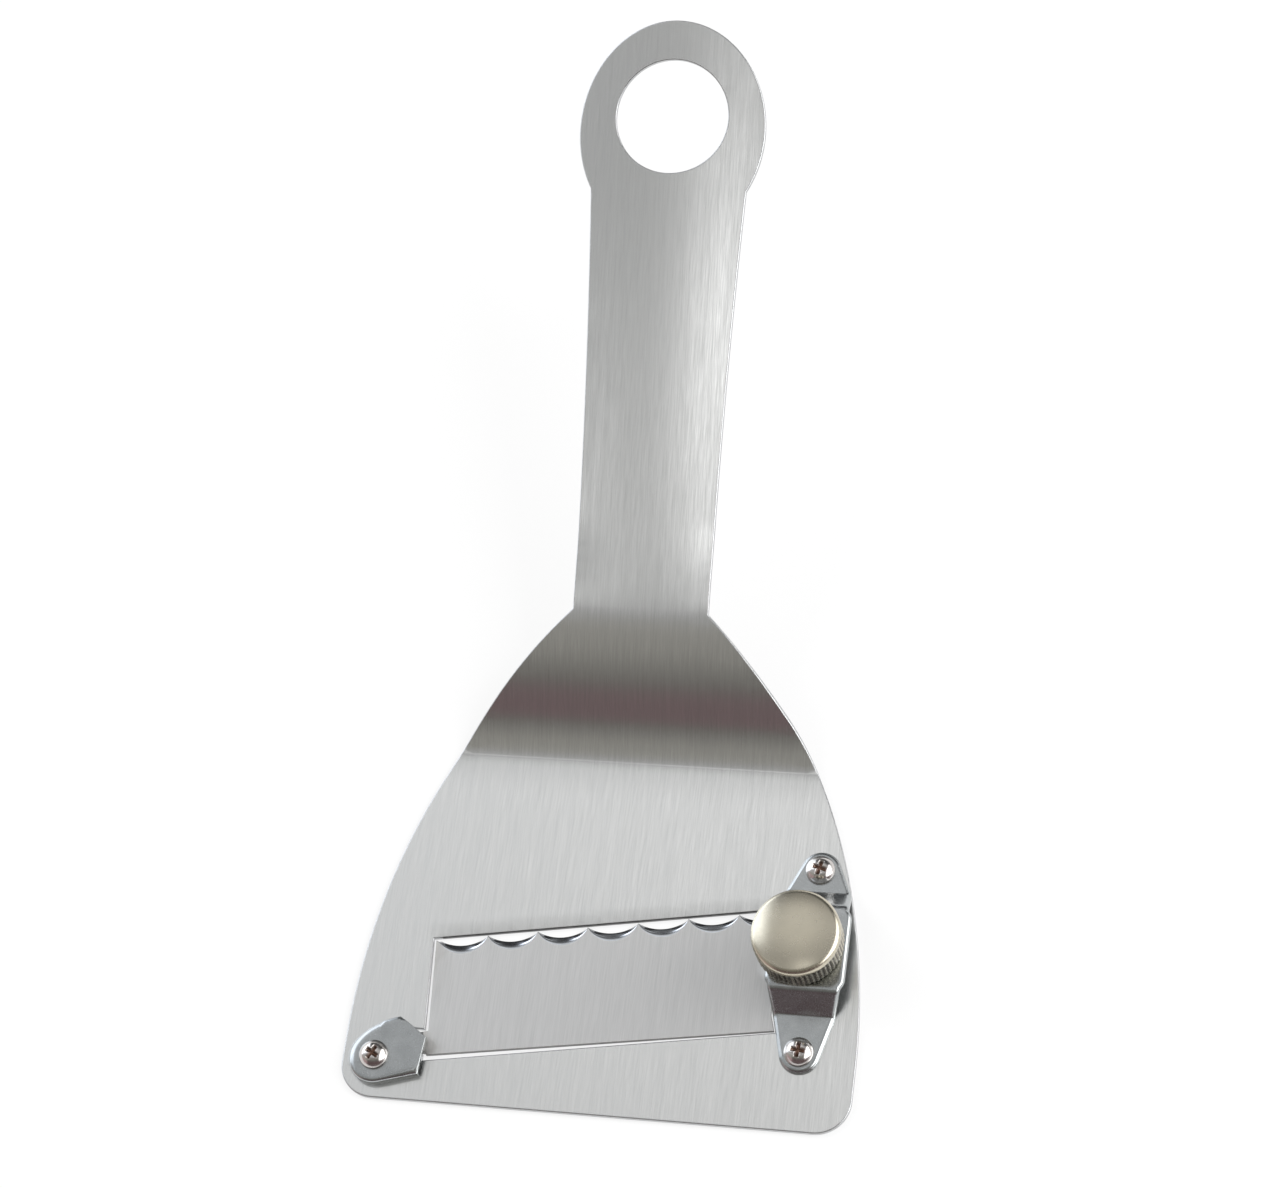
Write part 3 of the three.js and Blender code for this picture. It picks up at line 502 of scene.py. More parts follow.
def build(name, points, faces, body, node, materials, pick=None, pattern=None, shade=None):
    """Puts plan points in millimetres into the frame as a mesh that rides on a body and stands for a node.
    pick names each face's material by its number, pattern is the flat pattern that the grain follows, and
    shade is a value for each point that the material reads as a share of painted shade."""
    place = (np.asarray(points, float) + plan_to_frame) * MM
    mesh = bpy.data.meshes.new(name)
    mesh.from_pydata(place.tolist(), [], faces)
    for material in materials:
        mesh.materials.append(material)
    if pick is not None:
        mesh.polygons.foreach_set("material_index", np.asarray(pick, np.int32))
    if pattern is not None:
        uv = mesh.uv_layers.new(name="grain")
        corner = np.zeros(len(mesh.loops), np.int32)
        mesh.loops.foreach_get("vertex_index", corner)
        uv.data.foreach_set("uv", (np.asarray(pattern)[corner] * MM).astype(np.float32).ravel())
    if shade is not None:
        layer = mesh.attributes.new("shade", "FLOAT", "POINT")
        layer.data.foreach_set("value", np.asarray(shade, np.float32))
    mesh.shade_smooth()
    mesh.set_sharp_from_angle(angle=math.radians(SHARP))
    piece = add(name, mesh)
    even = piece.modifiers.new("even_normals", "WEIGHTED_NORMAL")
    even.keep_sharp = True
    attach(piece, body)
    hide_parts(node)


def grid_faces(rows, columns):
    """Quads of a grid that closes on itself across its columns."""
    at = np.arange(rows * columns).reshape(rows, columns)
    right = np.roll(at, -1, axis=1)
    quads = np.stack([at[:-1], right[:-1], right[1:], at[1:]], axis=-1)
    return quads.reshape(-1, 4).tolist()


def turned(radius, height, x, y, columns, bore=False):
    """A turned solid: rows of (radius, height), each a number or one value per column, swept round an upright
    axis. A bored one joins its last row to its first, and a full one is closed by a fan at each end."""
    rows = len(radius)
    angle = np.linspace(0, 2 * np.pi, columns, endpoint=False)
    r = np.array([np.broadcast_to(v, columns) for v in radius])
    z = np.array([np.broadcast_to(v, columns) for v in height])
    points = np.stack([x + r * np.cos(angle), y + r * np.sin(angle), z], axis=-1).reshape(-1, 3)
    faces = grid_faces(rows, columns)
    first = np.arange(columns)
    last = first + (rows - 1) * columns
    if bore:
        faces += np.column_stack([last, np.roll(last, -1), np.roll(first, -1), first]).tolist()
        return points, faces
    low, high = len(points), len(points) + 1
    points = np.vstack([points, [x, y, z[0].mean()], [x, y, z[-1].mean()]])
    faces += np.column_stack([np.roll(first, -1), first, np.full(columns, low)]).tolist()
    faces += np.column_stack([last, np.roll(last, -1), np.full(columns, high)]).tolist()
    return points, faces


# Materials

NOISE_RANGE = (0.3, 0.7)  # between which most of a noise lies
NOISE_ROUGHNESS = 0.6
FINE_GRAIN = (5200, 150, 1)  # scratches in a metre, across the grain and along it
WIDE_GRAIN = (900, 36, 1)
FINE_SHARE = 0.65  # share of the fine scratches in the grain
SCRATCH_STRENGTH = 0.12
SCRATCH_DEPTH = 0.00002
RIPPLE_DEPTH = 0.00005
RIPPLE_SCALE = 9  # how much finer the roughness is than the cloud


def bare_metal(name):
    """A fresh metal: its material, its node tree and its Principled shader."""
    material = bpy.data.materials.new(name)
    material.use_nodes = True
    tree = material.node_tree
    shader = tree.nodes["Principled BSDF"]
    feed(tree, 1.0, shader.inputs["Metallic"])
    return material, tree, shader


def feed(tree, value, socket):
    """Links an output to an input, or sets the input to a plain value."""
    if isinstance(value, bpy.types.NodeSocket):
        tree.links.new(value, socket)
    else:
        socket.default_value = value


def new_node(tree, kind, **inputs):
    """A new node with some inputs fed. Their names have _ in place of a space."""
    node = tree.nodes.new(kind)
    for name, value in inputs.items():
        feed(tree, value, node.inputs[name.replace("_", " ")])
    return node


def calculate(tree, operation, *values):
    """A Math node on outputs and plain numbers."""
    node = new_node(tree, "ShaderNodeMath")
    node.operation = operation
    for socket, value in zip(node.inputs, values):
        feed(tree, value, socket)
    return node.outputs[0]


def streaks(tree, source, scale, detail):
    """Noise drawn out along the grain: coordinates scaled unevenly before the texture."""
    place = new_node(tree, "ShaderNodeMapping", Vector=source, Scale=scale).outputs["Vector"]
    noise = new_node(tree, "ShaderNodeTexNoise", Vector=place, Scale=1.0, Detail=detail,
                     Roughness=NOISE_ROUGHNESS)
    return noise.outputs["Fac"]


def ramp(tree, value, low, high):
    """A noise turned into a colour between low and high."""
    node = new_node(tree, "ShaderNodeValToRGB", Fac=value)
    for element, position, colour in zip(node.color_ramp.elements, NOISE_RANGE, (low, high)):
        element.position = position
        element.color = (*colour, 1)
    return node.outputs["Color"]


def spread(tree, value, low, high):
    """A noise moved to the range from low to high."""
    start, stop = NOISE_RANGE
    node = new_node(tree, "ShaderNodeMapRange", Value=value, From_Min=start, From_Max=stop, To_Min=low,
                    To_Max=high)
    return node.outputs["Result"]


def bump(tree, shader, value, strength, depth):
    """A fine relief from a noise."""
    node = new_node(tree, "ShaderNodeBump", Height=value, Strength=strength, Distance=depth)
    feed(tree, node.outputs["Normal"], shader.inputs["Normal"])


def brushed(name, dark, light, smooth, rough, anisotropy):
    """Brushed stainless sheet: fine scratches along the grain, a few longer and wider streaks, and a
    highlight drawn out across them."""
    material, tree, shader = bare_metal(name)
    uv = new_node(tree, "ShaderNodeUVMap")
    uv.uv_map = "grain"
    fine = streaks(tree, uv.outputs["UV"], FINE_GRAIN, detail=5.0)
    wide = streaks(tree, uv.outputs["UV"], WIDE_GRAIN, detail=4.0)
    rest = calculate(tree, "MULTIPLY", wide, 1 - FINE_SHARE)
    grain = calculate(tree, "MULTIPLY_ADD", fine, FINE_SHARE, rest)
    feed(tree, ramp(tree, grain, dark, light), shader.inputs["Base Color"])
    feed(tree, spread(tree, grain, rough, smooth), shader.inputs["Roughness"])
    tangent = new_node(tree, "ShaderNodeTangent")
    tangent.direction_type = "UV_MAP"
    tangent.uv_map = "grain"
    feed(tree, tangent.outputs["Tangent"], shader.inputs["Tangent"])
    feed(tree, anisotropy, shader.inputs["Anisotropic"])
    bump(tree, shader, fine, SCRATCH_STRENGTH, SCRATCH_DEPTH)
    return material


def polished(name, dark, light, smooth, rough, scale=420.0, strength=0.06, recess=None):
    """Polished or plated metal: a soft cloud in colour and roughness, and the faint ripple that polishing
    leaves. Where the mesh's shade is 1, the colour turns to the recess colour, which is painted shade."""
    material, tree, shader = bare_metal(name)
    place = new_node(tree, "ShaderNodeTexCoord").outputs["Object"]
    cloud = streaks(tree, place, [scale] * 3, detail=3.0)
    fine = streaks(tree, place, [scale * RIPPLE_SCALE] * 3, detail=2.0)
    colour = ramp(tree, cloud, dark, light)
    # Painted shade: the recess colour is mixed in as far as the mesh's shade attribute says.
    if recess:
        shade = new_node(tree, "ShaderNodeAttribute")
        shade.attribute_name = "shade"
        mix = new_node(tree, "ShaderNodeMix")
        mix.data_type = "RGBA"
        feed(tree, shade.outputs["Fac"], mix.inputs["Factor"])
        feed(tree, colour, mix.inputs["A"])
        feed(tree, (*recess, 1), mix.inputs["B"])
        colour = mix.outputs["Result"]
    feed(tree, colour, shader.inputs["Base Color"])
    feed(tree, spread(tree, fine, smooth, rough), shader.inputs["Roughness"])
    bump(tree, shader, cloud, strength, RIPPLE_DEPTH)
    return material


plate_steel = brushed("brushed_plate", (0.71, 0.715, 0.705), (0.93, 0.935, 0.925), 0.17, 0.26, 0.6)
blade_steel = brushed("brushed_blade", (0.49, 0.485, 0.47), (0.62, 0.61, 0.595), 0.30, 0.40, 0.8)
# Painted highlight: the brow is a brighter, bluish copy of the ground steel, for the light its rounded ridge
# catches.
painted_highlight_brow = polished("painted_highlight_brow", (0.68, 0.71, 0.75), (0.76, 0.79, 0.83), 0.12, 0.20, 900.0)
# Painted shade: the ground bevel is a darker copy of the same ground steel, for the dark it reflects.
painted_shade_bevel = polished("painted_shade_bevel", (0.26, 0.27, 0.29), (0.32, 0.33, 0.35), 0.16, 0.24, 900.0)
# Sheared edges are duller than the face, and this one is darker still as painted shade where it is used.
sheared_and_painted_shade_edge = polished("sheared_and_painted_shade_edge", (0.15, 0.15, 0.15), (0.23, 0.23, 0.23), 0.35, 0.50, 1200.0)
cut_edge = polished("cut_edge", (0.48, 0.485, 0.49), (0.58, 0.585, 0.59), 0.30, 0.42, 1200.0)
pressed_steel = polished("pressed_steel", (0.43, 0.45, 0.455), (0.50, 0.52, 0.525), 0.21, 0.28)
# The knob's recess colour is painted shade in the knurl's grooves.
knob_nickel = polished("warm_nickel", (0.58, 0.54, 0.44), (0.66, 0.61, 0.49), 0.24, 0.28, 120.0, 0.01,
                       recess=(0.10, 0.08, 0.06))
# The screw's recess colour is painted shade in its cross recess.
screw_nickel = polished("screw_nickel", (0.60, 0.57, 0.55), (0.70, 0.67, 0.65), 0.14, 0.22, 700.0,
                        recess=(0.24, 0.15, 0.11))
turned_steel = polished("turned_steel", (0.40, 0.40, 0.39), (0.52, 0.52, 0.51), 0.22, 0.34, 900.0)


# Body plate

def bend_rise(low, high):
    """How far a bend of radius 1 rises between two slopes."""
    return abs(math.cos(math.radians(low)) - math.cos(math.radians(high)))


neck_upper_bend = (
    NECK_RISE
    - NECK_CREASE_BEND * bend_rise(0, NECK_CREASE)
    - NECK_LOWER_BEND * bend_rise(NECK_CREASE, NECK_SLOPE)
    - NECK_STRAIGHT * math.sin(math.radians(NECK_SLOPE))
) / bend_rise(NECK_SLOPE, HANDLE_PITCH)
crease = NECK_CREASE_BEND * math.radians(NECK_CREASE)
lower_bend = NECK_LOWER_BEND * math.radians(NECK_SLOPE - NECK_CREASE)
upper_bend = neck_upper_bend * math.radians(NECK_SLOPE - HANDLE_PITCH)
neck_end = PLATE_LENGTH + crease + lower_bend + NECK_STRAIGHT + upper_bend
hole_at = neck_end + HANDLE_LENGTH
ring_centre = hole_at - HOLE_OFFSET
body_line = side_line(front_edge, SHEET / 2, [
    (PLATE_LENGTH - FOLD_LEAD, 0),
    (FOLD_LEAD, FOLD_LIFT),
    (CREASE_LEAD, CREASE_LIFT),
    (crease - CREASE_LEAD, NECK_CREASE - FOLD_LIFT - CREASE_LIFT - CREASE_TURN),
    (CREASE_TAIL, CREASE_TURN),
    (lower_bend - CREASE_TAIL, NECK_SLOPE - NECK_CREASE),
    (NECK_STRAIGHT, 0),
    (upper_bend, HANDLE_PITCH - NECK_SLOPE + TAIL_TURN),
    (NECK_TAIL, -TAIL_TURN),
    (HANDLE_LENGTH + RING_LENGTH, 0),
])

window_slope = math.tan(math.radians(WINDOW_TILT))


def window_upper(x):
    return window_top + (x - window_left) * window_slope


def window_lower(x):
    return window_upper(x) - WINDOW_HEIGHT


def window_side(y):
    return window_left + (window_top - y) * math.tan(math.radians(WINDOW_LEAN))


notch_left = window_side(eye_root_top) - NOTCH_DEPTH
screw_places = [
    (clip_x, clip_y),
    (bridge_x, bridge_y + UPPER_REACH),
    (bridge_x, bridge_y - LOWER_REACH),
]


def body_outline():
    """The flat pattern's outline in (x, distance from the front edge): corner arc, shoulder curve, handle
    flare and ring ellipse up the right side, then the same mirrored down the left."""
    wide, neck, end = PLATE_WIDTH / 2, NECK_WIDTH / 2, HANDLE_END_WIDTH / 2
    turn = math.radians(SHOULDER_ANGLE)
    ring_start = math.degrees(math.acos(end / (RING_WIDTH / 2)))
    notch = ring_centre - RING_LENGTH / 2 * math.sin(math.radians(ring_start))
    right = chain(
        arc(wide - PLATE_CORNER, PLATE_CORNER, PLATE_CORNER, -90, 0, 16),
        bezier(
            130,
            (wide, PLATE_SIDE),
            (wide, PLATE_SIDE + SIDE_PULL),
            (neck + SHOULDER_PULL * math.sin(turn), neck_end - SHOULDER_PULL * math.cos(turn)),
            (neck, neck_end),
        ),
        bezier(60, (neck, neck_end), (neck, (neck_end + notch) / 2), (end, notch)),
        ellipse(0, ring_centre, RING_WIDTH / 2, RING_LENGTH / 2, -ring_start, 90, 90),
    )
    left = right[::-1] * (-1, 1)
    front = line(left[-1], right[0], LEAD_STEP)
    return chain(right, left, front)


def window_outline():
    """The slanted window with the notch in its left edge, walked clockwise."""
    lower_left = window_side(window_lower(window_left))
    notch_top = eye_root_top + NOTCH_GAP
    notch_bottom = eye_root_bottom - NOTCH_GAP
    corners = [
        (window_left, window_top),
        (window_right, window_upper(window_right)),
        (window_right, window_lower(window_right)),
        (lower_left, window_lower(lower_left)),
        (window_side(notch_bottom), notch_bottom),
        (notch_left, notch_bottom),
        (notch_left, notch_top),
        (window_side(notch_top), notch_top),
    ]
    return chain(*[line(a, b, EDGE_STEP) for a, b in zip(corners, corners[1:] + corners[:1])])


def body_plate():
    """The sheet from its flat pattern. Past the neck it is crowned: it falls by x^2 / 2R off its middle.
    Along the window's upper edge the upper face is drawn down: by the depth times (1 - d / width)^2 at a
    distance d."""
    front = np.array([0, PLATE_LENGTH])
    loops = [body_outline(), circle_hole(0, hole_at, HOLE_DIAMETER / 2, 96), window_outline() + front]
    loops += [screw_hole(x, y + PLATE_LENGTH) for x, y in screw_places]
    rolled = PLATE_LENGTH + window_upper(np.array([window_left, window_right])) + (0, WINDOW_ROLL)
    folded = PLATE_LENGTH + crease + CREASE_TAIL
    rows = np.concatenate([
        np.arange(OPEN_STEP / 2, rolled[0] - NECK_STEP, OPEN_STEP),
        np.arange(rolled[0], rolled[1], FINE_STEP),
        np.arange(rolled[1] + LEAD_STEP / 2, PLATE_LENGTH - LEAD_STEP / 2, LEAD_STEP),
        np.arange(PLATE_LENGTH - 3 * FOLD_STEP, folded, FOLD_STEP),
        np.arange(folded + 3 * FOLD_STEP, neck_end + 2 * NECK_STEP, NECK_STEP),
        np.arange(neck_end + OPEN_STEP - NECK_STEP, ring_centre + RING_LENGTH / 2, OPEN_STEP),
    ])
    rings = edge_rings(loops, SHEET, SHEET_EDGE, 4)
    flat, faces, gap, place = sheet(rings, OPEN_STEP, PLATE_CLEAR, rows)
    rim = (gap > 0) & (gap < len(rings) - 2)
    start = len(loops[0]) + len(loops[1])
    ahead = np.flatnonzero(loops[2][:, 1] - PLATE_LENGTH > window_upper(loops[2][:, 0]) - SEAT)
    # Painted shade: the window's upper wall takes the darkest edge material, the rest of the rim the plain
    # cut edge.
    painted_shade_window_wall = rim & np.isin(place, start + ahead[:-1])
    x, y, height = flat.T
    crown = x**2 / (2 * HANDLE_CROWN) * soft_step(y, neck_end, neck_end + CROWN_START)
    above = y - PLATE_LENGTH - window_upper(x)
    beside = soft_step(x, window_left - WINDOW_FADE, window_left + WINDOW_FADE) * (x < window_right)
    upper_face = (above > -SEAT) & (height > 0)
    drawn = WINDOW_DRAW * np.clip(1 - above / WINDOW_ROLL, 0, 1) ** 2 * beside * upper_face
    points = bend(flat - np.outer(crown + drawn, (0, 0, 1)), body_line)
    build("body_plate_sheet", points, faces, "frame", "body_plate",
          [plate_steel, cut_edge, sheared_and_painted_shade_edge], np.where(painted_shade_window_wall, 2, rim), flat[:, :2])


# Blade

blade_right = bridge_x - LOWER_FOLD_WIDTH / 2 - BRIDGE_GAP


def blade_upper(x):
    return window_upper(x) - BLADE_EDGE_GAP


def blade_side(y):
    return window_side(y) + BLADE_SIDE_GAP


def blade_lower(x):
    share = (x - window_left) / (blade_right - window_left)
    return window_lower(x) + BLADE_HEEL_GAP - BLADE_HEEL_TAPER * share


def gullets(depth):
    """The scalloped edge from right to left where its gullets have some depth: arcs between the points of
    the teeth, in a frame along the slanted edge. Deeper arcs, up on the bevel, end a little lower at the
    points."""
    half = TOOTH_PITCH / 2
    fall = TOOTH_POINT * (depth - TOOTH_DEPTH)
    rise = depth - fall
    radius = (half**2 + rise**2) / (2 * rise)
    edge_radius = (half**2 + TOOTH_DEPTH**2) / (2 * TOOTH_DEPTH)
    first_left = -math.sqrt(edge_radius**2 - (edge_radius - TOOTH_DEPTH + LAND_DROP) ** 2)
    tilt = math.radians(WINDOW_TILT)
    along_edge = np.array([math.cos(tilt), math.sin(tilt)])
    off_edge = np.array([-math.sin(tilt), math.cos(tilt)])
    start = np.array([window_left, blade_upper(window_left)])
    end = (blade_right - window_left) / math.cos(tilt)
    points = []

    def off(s):
        return radius - depth - np.sqrt(radius**2 - s**2)

    for number in reversed(range(math.ceil((end - TOOTH_START) / TOOTH_PITCH))):
        centre = TOOTH_START + (number + 0.5) * TOOTH_PITCH
        right = min(half, end - centre)
        right = min(right, end - centre + off(right) * math.tan(tilt))
        left = -half if number > 0 else first_left
        s = np.linspace(right, left, 25)
        if number > 0:
            s = s[:-1]
        points.append(start + np.outer(centre + s, along_edge) + np.outer(off(s), off_edge))
    return np.concatenate(points)


def blade_outline(depth):
    """The blade's outline with gullets of some depth, walked anticlockwise, and which of its points are on
    that edge. The right edge follows the side of the bridge's lower foot."""
    lower_left = blade_side(window_lower(window_left))
    half = TONGUE_WIDTH / 2
    end = knob_x + TONGUE_END
    teeth = gullets(depth)
    foot_slope = (LOWER_FOLD_WIDTH / 2 - FOOT_ROUND) / (LOWER_REACH - BRIDGE_FOLD_HALF)
    heel_x = blade_right + foot_slope * (fold_y - blade_lower(blade_right))
    heel = (heel_x, blade_lower(heel_x))
    low, high = bridge_y - half, bridge_y + half
    root = (blade_side(eye_root_top), eye_root_top)
    before = chain(
        line((lower_left, blade_lower(lower_left)), heel, EDGE_STEP),
        line(heel, (blade_right, fold_y), EDGE_STEP),
        line((blade_right, fold_y), (blade_right, low), EDGE_STEP),
        line((blade_right, low), (end - TONGUE_CORNER, low), FINE_STEP),
        arc(end - TONGUE_CORNER, low + TONGUE_CORNER, TONGUE_CORNER, -90, 0, 9),
        arc(end - TONGUE_CORNER, high - TONGUE_CORNER, TONGUE_CORNER, 0, 90, 9),
        line((end - TONGUE_CORNER, high), (blade_right, high), FINE_STEP),
    )
    corner_x = blade_side(window_top)
    corner = (corner_x, blade_upper(corner_x) - LAND_DROP)
    eye = arc(clip_x, clip_y, EYE_ROUND, EYE_ARC_FROM, EYE_ARC_TO, 30)
    after = chain(
        line(corner, root, EDGE_STEP),
        line(root, eye[0], FINE_STEP),
        eye,
        line(eye[-1], (notch_left, eye_root_bottom), FINE_STEP),
        line((notch_left, eye_root_bottom), (blade_side(eye_root_bottom), eye_root_bottom), FINE_STEP),
    )
    cutting = np.zeros(len(before) + len(teeth) + len(after), bool)
    cutting[len(before):len(before) + len(teeth)] = True
    return np.concatenate([before, teeth, after]), cutting


def bevel_profile(count):
    """The section of the cutting edge as (depth of the gullet, height) rows, as many as a plain edge has: the
    flat, a brow rounded as a quadratic Bezier, the ground bevel, the low land and the lower face."""
    top, low = BLADE_THICKNESS / 2, -BLADE_THICKNESS / 2
    ridge = TOOTH_DEPTH + TOOTH_BEVEL
    slope = math.atan2(BLADE_THICKNESS - TOOTH_LAND, TOOTH_BEVEL)
    brow = bezier(
        count - 4,
        (ridge + TOOTH_BROW, top),
        (ridge, top),
        (ridge - TOOTH_BROW * math.cos(slope), top - TOOTH_BROW * math.sin(slope)),
    )
    guard = brow[0] + (TOOTH_BROW * FLAT_GUARD, 0)
    edge = [(TOOTH_DEPTH, low + TOOTH_LAND), (TOOTH_DEPTH, low), (TOOTH_DEPTH + BLADE_EDGE * FLAT_GUARD, low)]
    return np.vstack([guard, brow, edge])


def blade_height(x, y):
    """Height of the blade's middle: level in the window, stepped up at the eye and again at the tongue."""
    level = (blade_bottom + plate_top) / 2
    eye_start, eye_stop = blade_side(eye_root_top), notch_left + NOTCH_GAP
    tongue_start = blade_right + BRIDGE_GAP
    to_eye = soft_step(-x, -eye_start, -eye_stop) * (eye_bottom - blade_bottom)
    to_tongue = soft_step(x, tongue_start, tongue_start + TONGUE_STEP) * (tongue_bottom - blade_bottom)
    return level + to_eye + to_tongue * (y > fold_y)


def blade():
    """The blade from its flat outline: plain edges are rounded, and the cutting edge takes the bevel's
    rows, each with gullets of its own depth."""
    plain, cutting = blade_outline(TOOTH_DEPTH)
    holes = [
        circle_hole(clip_x, clip_y, SCREW_DIAMETER / 2 + EYE_SLACK, 32),
        circle_hole(knob_x, bridge_y, PIN_DIAMETER / 2 + TONGUE_SLACK, 32),
    ]
    rings = edge_rings([plain, *holes], BLADE_THICKNESS, BLADE_EDGE, 3)
    bevel = bevel_profile(len(rings))
    for ring, (depth, level) in zip(rings, bevel):
        outline, height = ring[0]
        toothed, _ = blade_outline(depth)
        ring[0] = (np.where(cutting[:, None], toothed, outline), np.where(cutting, level, height))
    flat, faces, gap, place = sheet(rings, BLADE_STEP, BLADE_CLEAR)
    points = np.column_stack([flat[:, :2], blade_height(flat[:, 0], flat[:, 1]) + flat[:, 2]])
    # Painted highlight on the brow's faces and painted shade on the bevel's faces, through their materials.
    on_teeth = np.isin(place, np.flatnonzero(cutting)) & (gap > 0)
    painted_shade_bevel_face = on_teeth & (gap >= len(rings) - 4)
    # The edge wall and the eye's arm take the dark edge material: the wall is dull sheared steel darkened
    # further as painted shade, and the arm, under the clip, gets painted shadow.
    wall = (gap == len(rings) // 2 - 1) & ~on_teeth
    corner = flat[[face[0] for face in faces]]
    arm = (corner[:, 0] < window_side(eye_root_top)) & (corner[:, 1] < eye_root_top)
    build("blade_sheet", points, faces, "cutter", "blade",
          [blade_steel, sheared_and_painted_shade_edge, painted_highlight_brow, painted_shade_bevel],
          np.where(on_teeth, 2 + painted_shade_bevel_face, wall | arm), flat[:, :2])


# Clip

def clip_outline(inset):
    """The clip's plan round its screw, drawn in by an inset: straight edge over the blade, peak, curved
    shoulder and round end."""
    low = np.array(CLIP_EDGE_LOW) + (-inset, inset)
    high = np.array(CLIP_EDGE_HIGH) + (-inset, -inset / 2)
    peak = np.array(CLIP_PEAK) + (0, -inset)
    shoulder = np.array(CLIP_SHOULDER) + (0, -inset)
    round_end = arc(0, 0, CLIP_ROUND - inset, CLIP_ROUND_FROM, CLIP_ROUND_TO, 40)
    return chain(
        bezier(14, low, high),
        bezier(14, high, peak),
        bezier(24, peak, shoulder, round_end[0]),
        round_end,
        bezier(20, round_end[-1], low),
    )


def blade_clip():
    """A pressed cap: flat top, rolled edge and a turned-down wall that stops short over the blade, where the
    edge is only sheared."""
    loop, inner = clip_outline(0.0), clip_outline(CLIP_WALL)
    per_inset = clip_outline(1.0) - loop
    hole = screw_hole(0, 0)
    mouth = (loop[:, 0] > CLIP_PEAK[0] - EYE_ROUND) & (loop[:, 1] > CLIP_EDGE_LOW[1] + FIT)
    foot = np.where(mouth, clip_inside - SEAT, clip_bottom)
    past_end = np.minimum(loop[:, 0] - CLIP_PEAK[0], loop[:, 1] - CLIP_EDGE_LOW[1])
    roll = CLIP_ROLL_LOW + (CLIP_ROLL - CLIP_ROLL_LOW) * soft_step(loop[:, 1], -CLIP_ROUND, 0)
    roll += (CLIP_SHEARED - roll) * soft_step(past_end, 0, CLIP_ROLL_FADE)
    roll = np.minimum(roll, clip_top - foot - SEAT)
    angles = np.radians([90, *np.linspace(90, 0, 6)])
    insets = roll * (1 - np.cos(angles))[:, None]
    insets[0] += roll * FLAT_GUARD
    heights = clip_top - roll * (1 - np.sin(angles))[:, None]
    rings = [(loop + inset[:, None] * per_inset, height) for inset, height in zip(insets, heights)]
    rings.append((loop, foot))
    rings.append((inner, foot))
    rings.append((inner, np.full(len(loop), clip_inside)))
    falls = np.linspace(clip_top, clip_inside, len(rings))
    rings = [[ring, (hole, np.full(len(hole), z))] for ring, z in zip(rings, falls)]
    flat, faces, _, _ = sheet(rings, CLIP_STEP, CLIP_CLEAR)
    build("blade_clip_cap", flat + (clip_x, clip_y, 0), faces, "frame", "blade_clip",
          [pressed_steel])


# Bridge

def bridge():
    """A strip folded into a hump between two feet: its flat pattern has round tips that widen to the folds,
    and the hump's top is wider still."""
    run = BRIDGE_FOLD_HALF - BRIDGE_TOP_HALF
    rise = bridge_top - foot_top
    angle = math.degrees(math.atan2(rise, run))
    cut = BRIDGE_BEND * math.tan(math.radians(angle) / 2)
    riser = math.hypot(run, rise) - 2 * cut
    fold = BRIDGE_BEND * math.radians(angle)
    lower_foot = LOWER_REACH - BRIDGE_FOLD_HALF
    upper_foot = UPPER_REACH - BRIDGE_FOLD_HALF
    steps = [
        (FOOT_ROUND + lower_foot - cut, 0),
        (fold, angle),
        (riser, 0),
        (fold, -angle),
        (2 * BRIDGE_TOP_HALF - 2 * cut, 0),
        (fold, -angle),
        (riser, 0),
        (fold, angle),
        (FOOT_ROUND + upper_foot - cut, 0),
    ]
    lengths = [length for length, _ in steps]
    total = sum(lengths)
    top_start, top_end = sum(lengths[:4]), sum(lengths[:5])

    def foot(reach, half):
        lean = math.degrees(math.atan2(half - FOOT_ROUND, reach))
        tip = arc(0, FOOT_ROUND, FOOT_ROUND, -90, -lean, 20)
        return chain(tip, line(tip[-1], (half, FOOT_ROUND + reach), FINE_STEP))

    def top_corner(end, way):
        return bezier(8, (TOP_FOLD_WIDTH / 2, end), (BRIDGE_WIDTH / 2, end + way * BRIDGE_CORNER / 2),
                      (BRIDGE_WIDTH / 2, end + way * BRIDGE_CORNER))

    low = foot(lower_foot, LOWER_FOLD_WIDTH / 2)
    high = foot(upper_foot, UPPER_FOLD_WIDTH / 2)[::-1] * (1, -1) + (0, total)
    first, last = top_corner(top_start, 1), top_corner(top_end, -1)[::-1]
    right = chain(
        low,
        line(low[-1], first[0], STRIP_STEP),
        first,
        line(first[-1], last[0], STRIP_STEP),
        last,
        line(last[-1], high[0], STRIP_STEP),
        high,
    )
    loop = chain(right, right[::-1] * (-1, 1))
    holes = [
        screw_hole(0, FOOT_ROUND),
        screw_hole(0, total - FOOT_ROUND),
        circle_hole(-KNOB_OFFSET, (top_start + top_end) / 2, BUSH_SHANK / 2 + SEAT, 40),
    ]
    rings = edge_rings([loop, *holes], BRIDGE_SHEET, BRIDGE_EDGE, 8, BRIDGE_ROLL)
    rows = np.arange(FINE_STEP, total, BRIDGE_ROWS)
    flat, faces, _, _ = sheet(rings, BRIDGE_STEP, BRIDGE_CLEAR, rows)
    walk = side_line(bridge_y - LOWER_REACH - FOOT_ROUND, foot_bottom + BRIDGE_SHEET / 2, steps)
    points = bend(flat, walk) + (bridge_x, 0, 0)
    build("bridge_strip", points, faces, "frame", "bridge", [pressed_steel])


# Screws

def dome(radius, top, drop, power, count):
    """Rows of a dome from its rim to near its middle, at height top - drop * (r / radius)^power."""
    share = np.linspace(*DOME_SPAN, count)
    return radius * share, top - drop * share**power


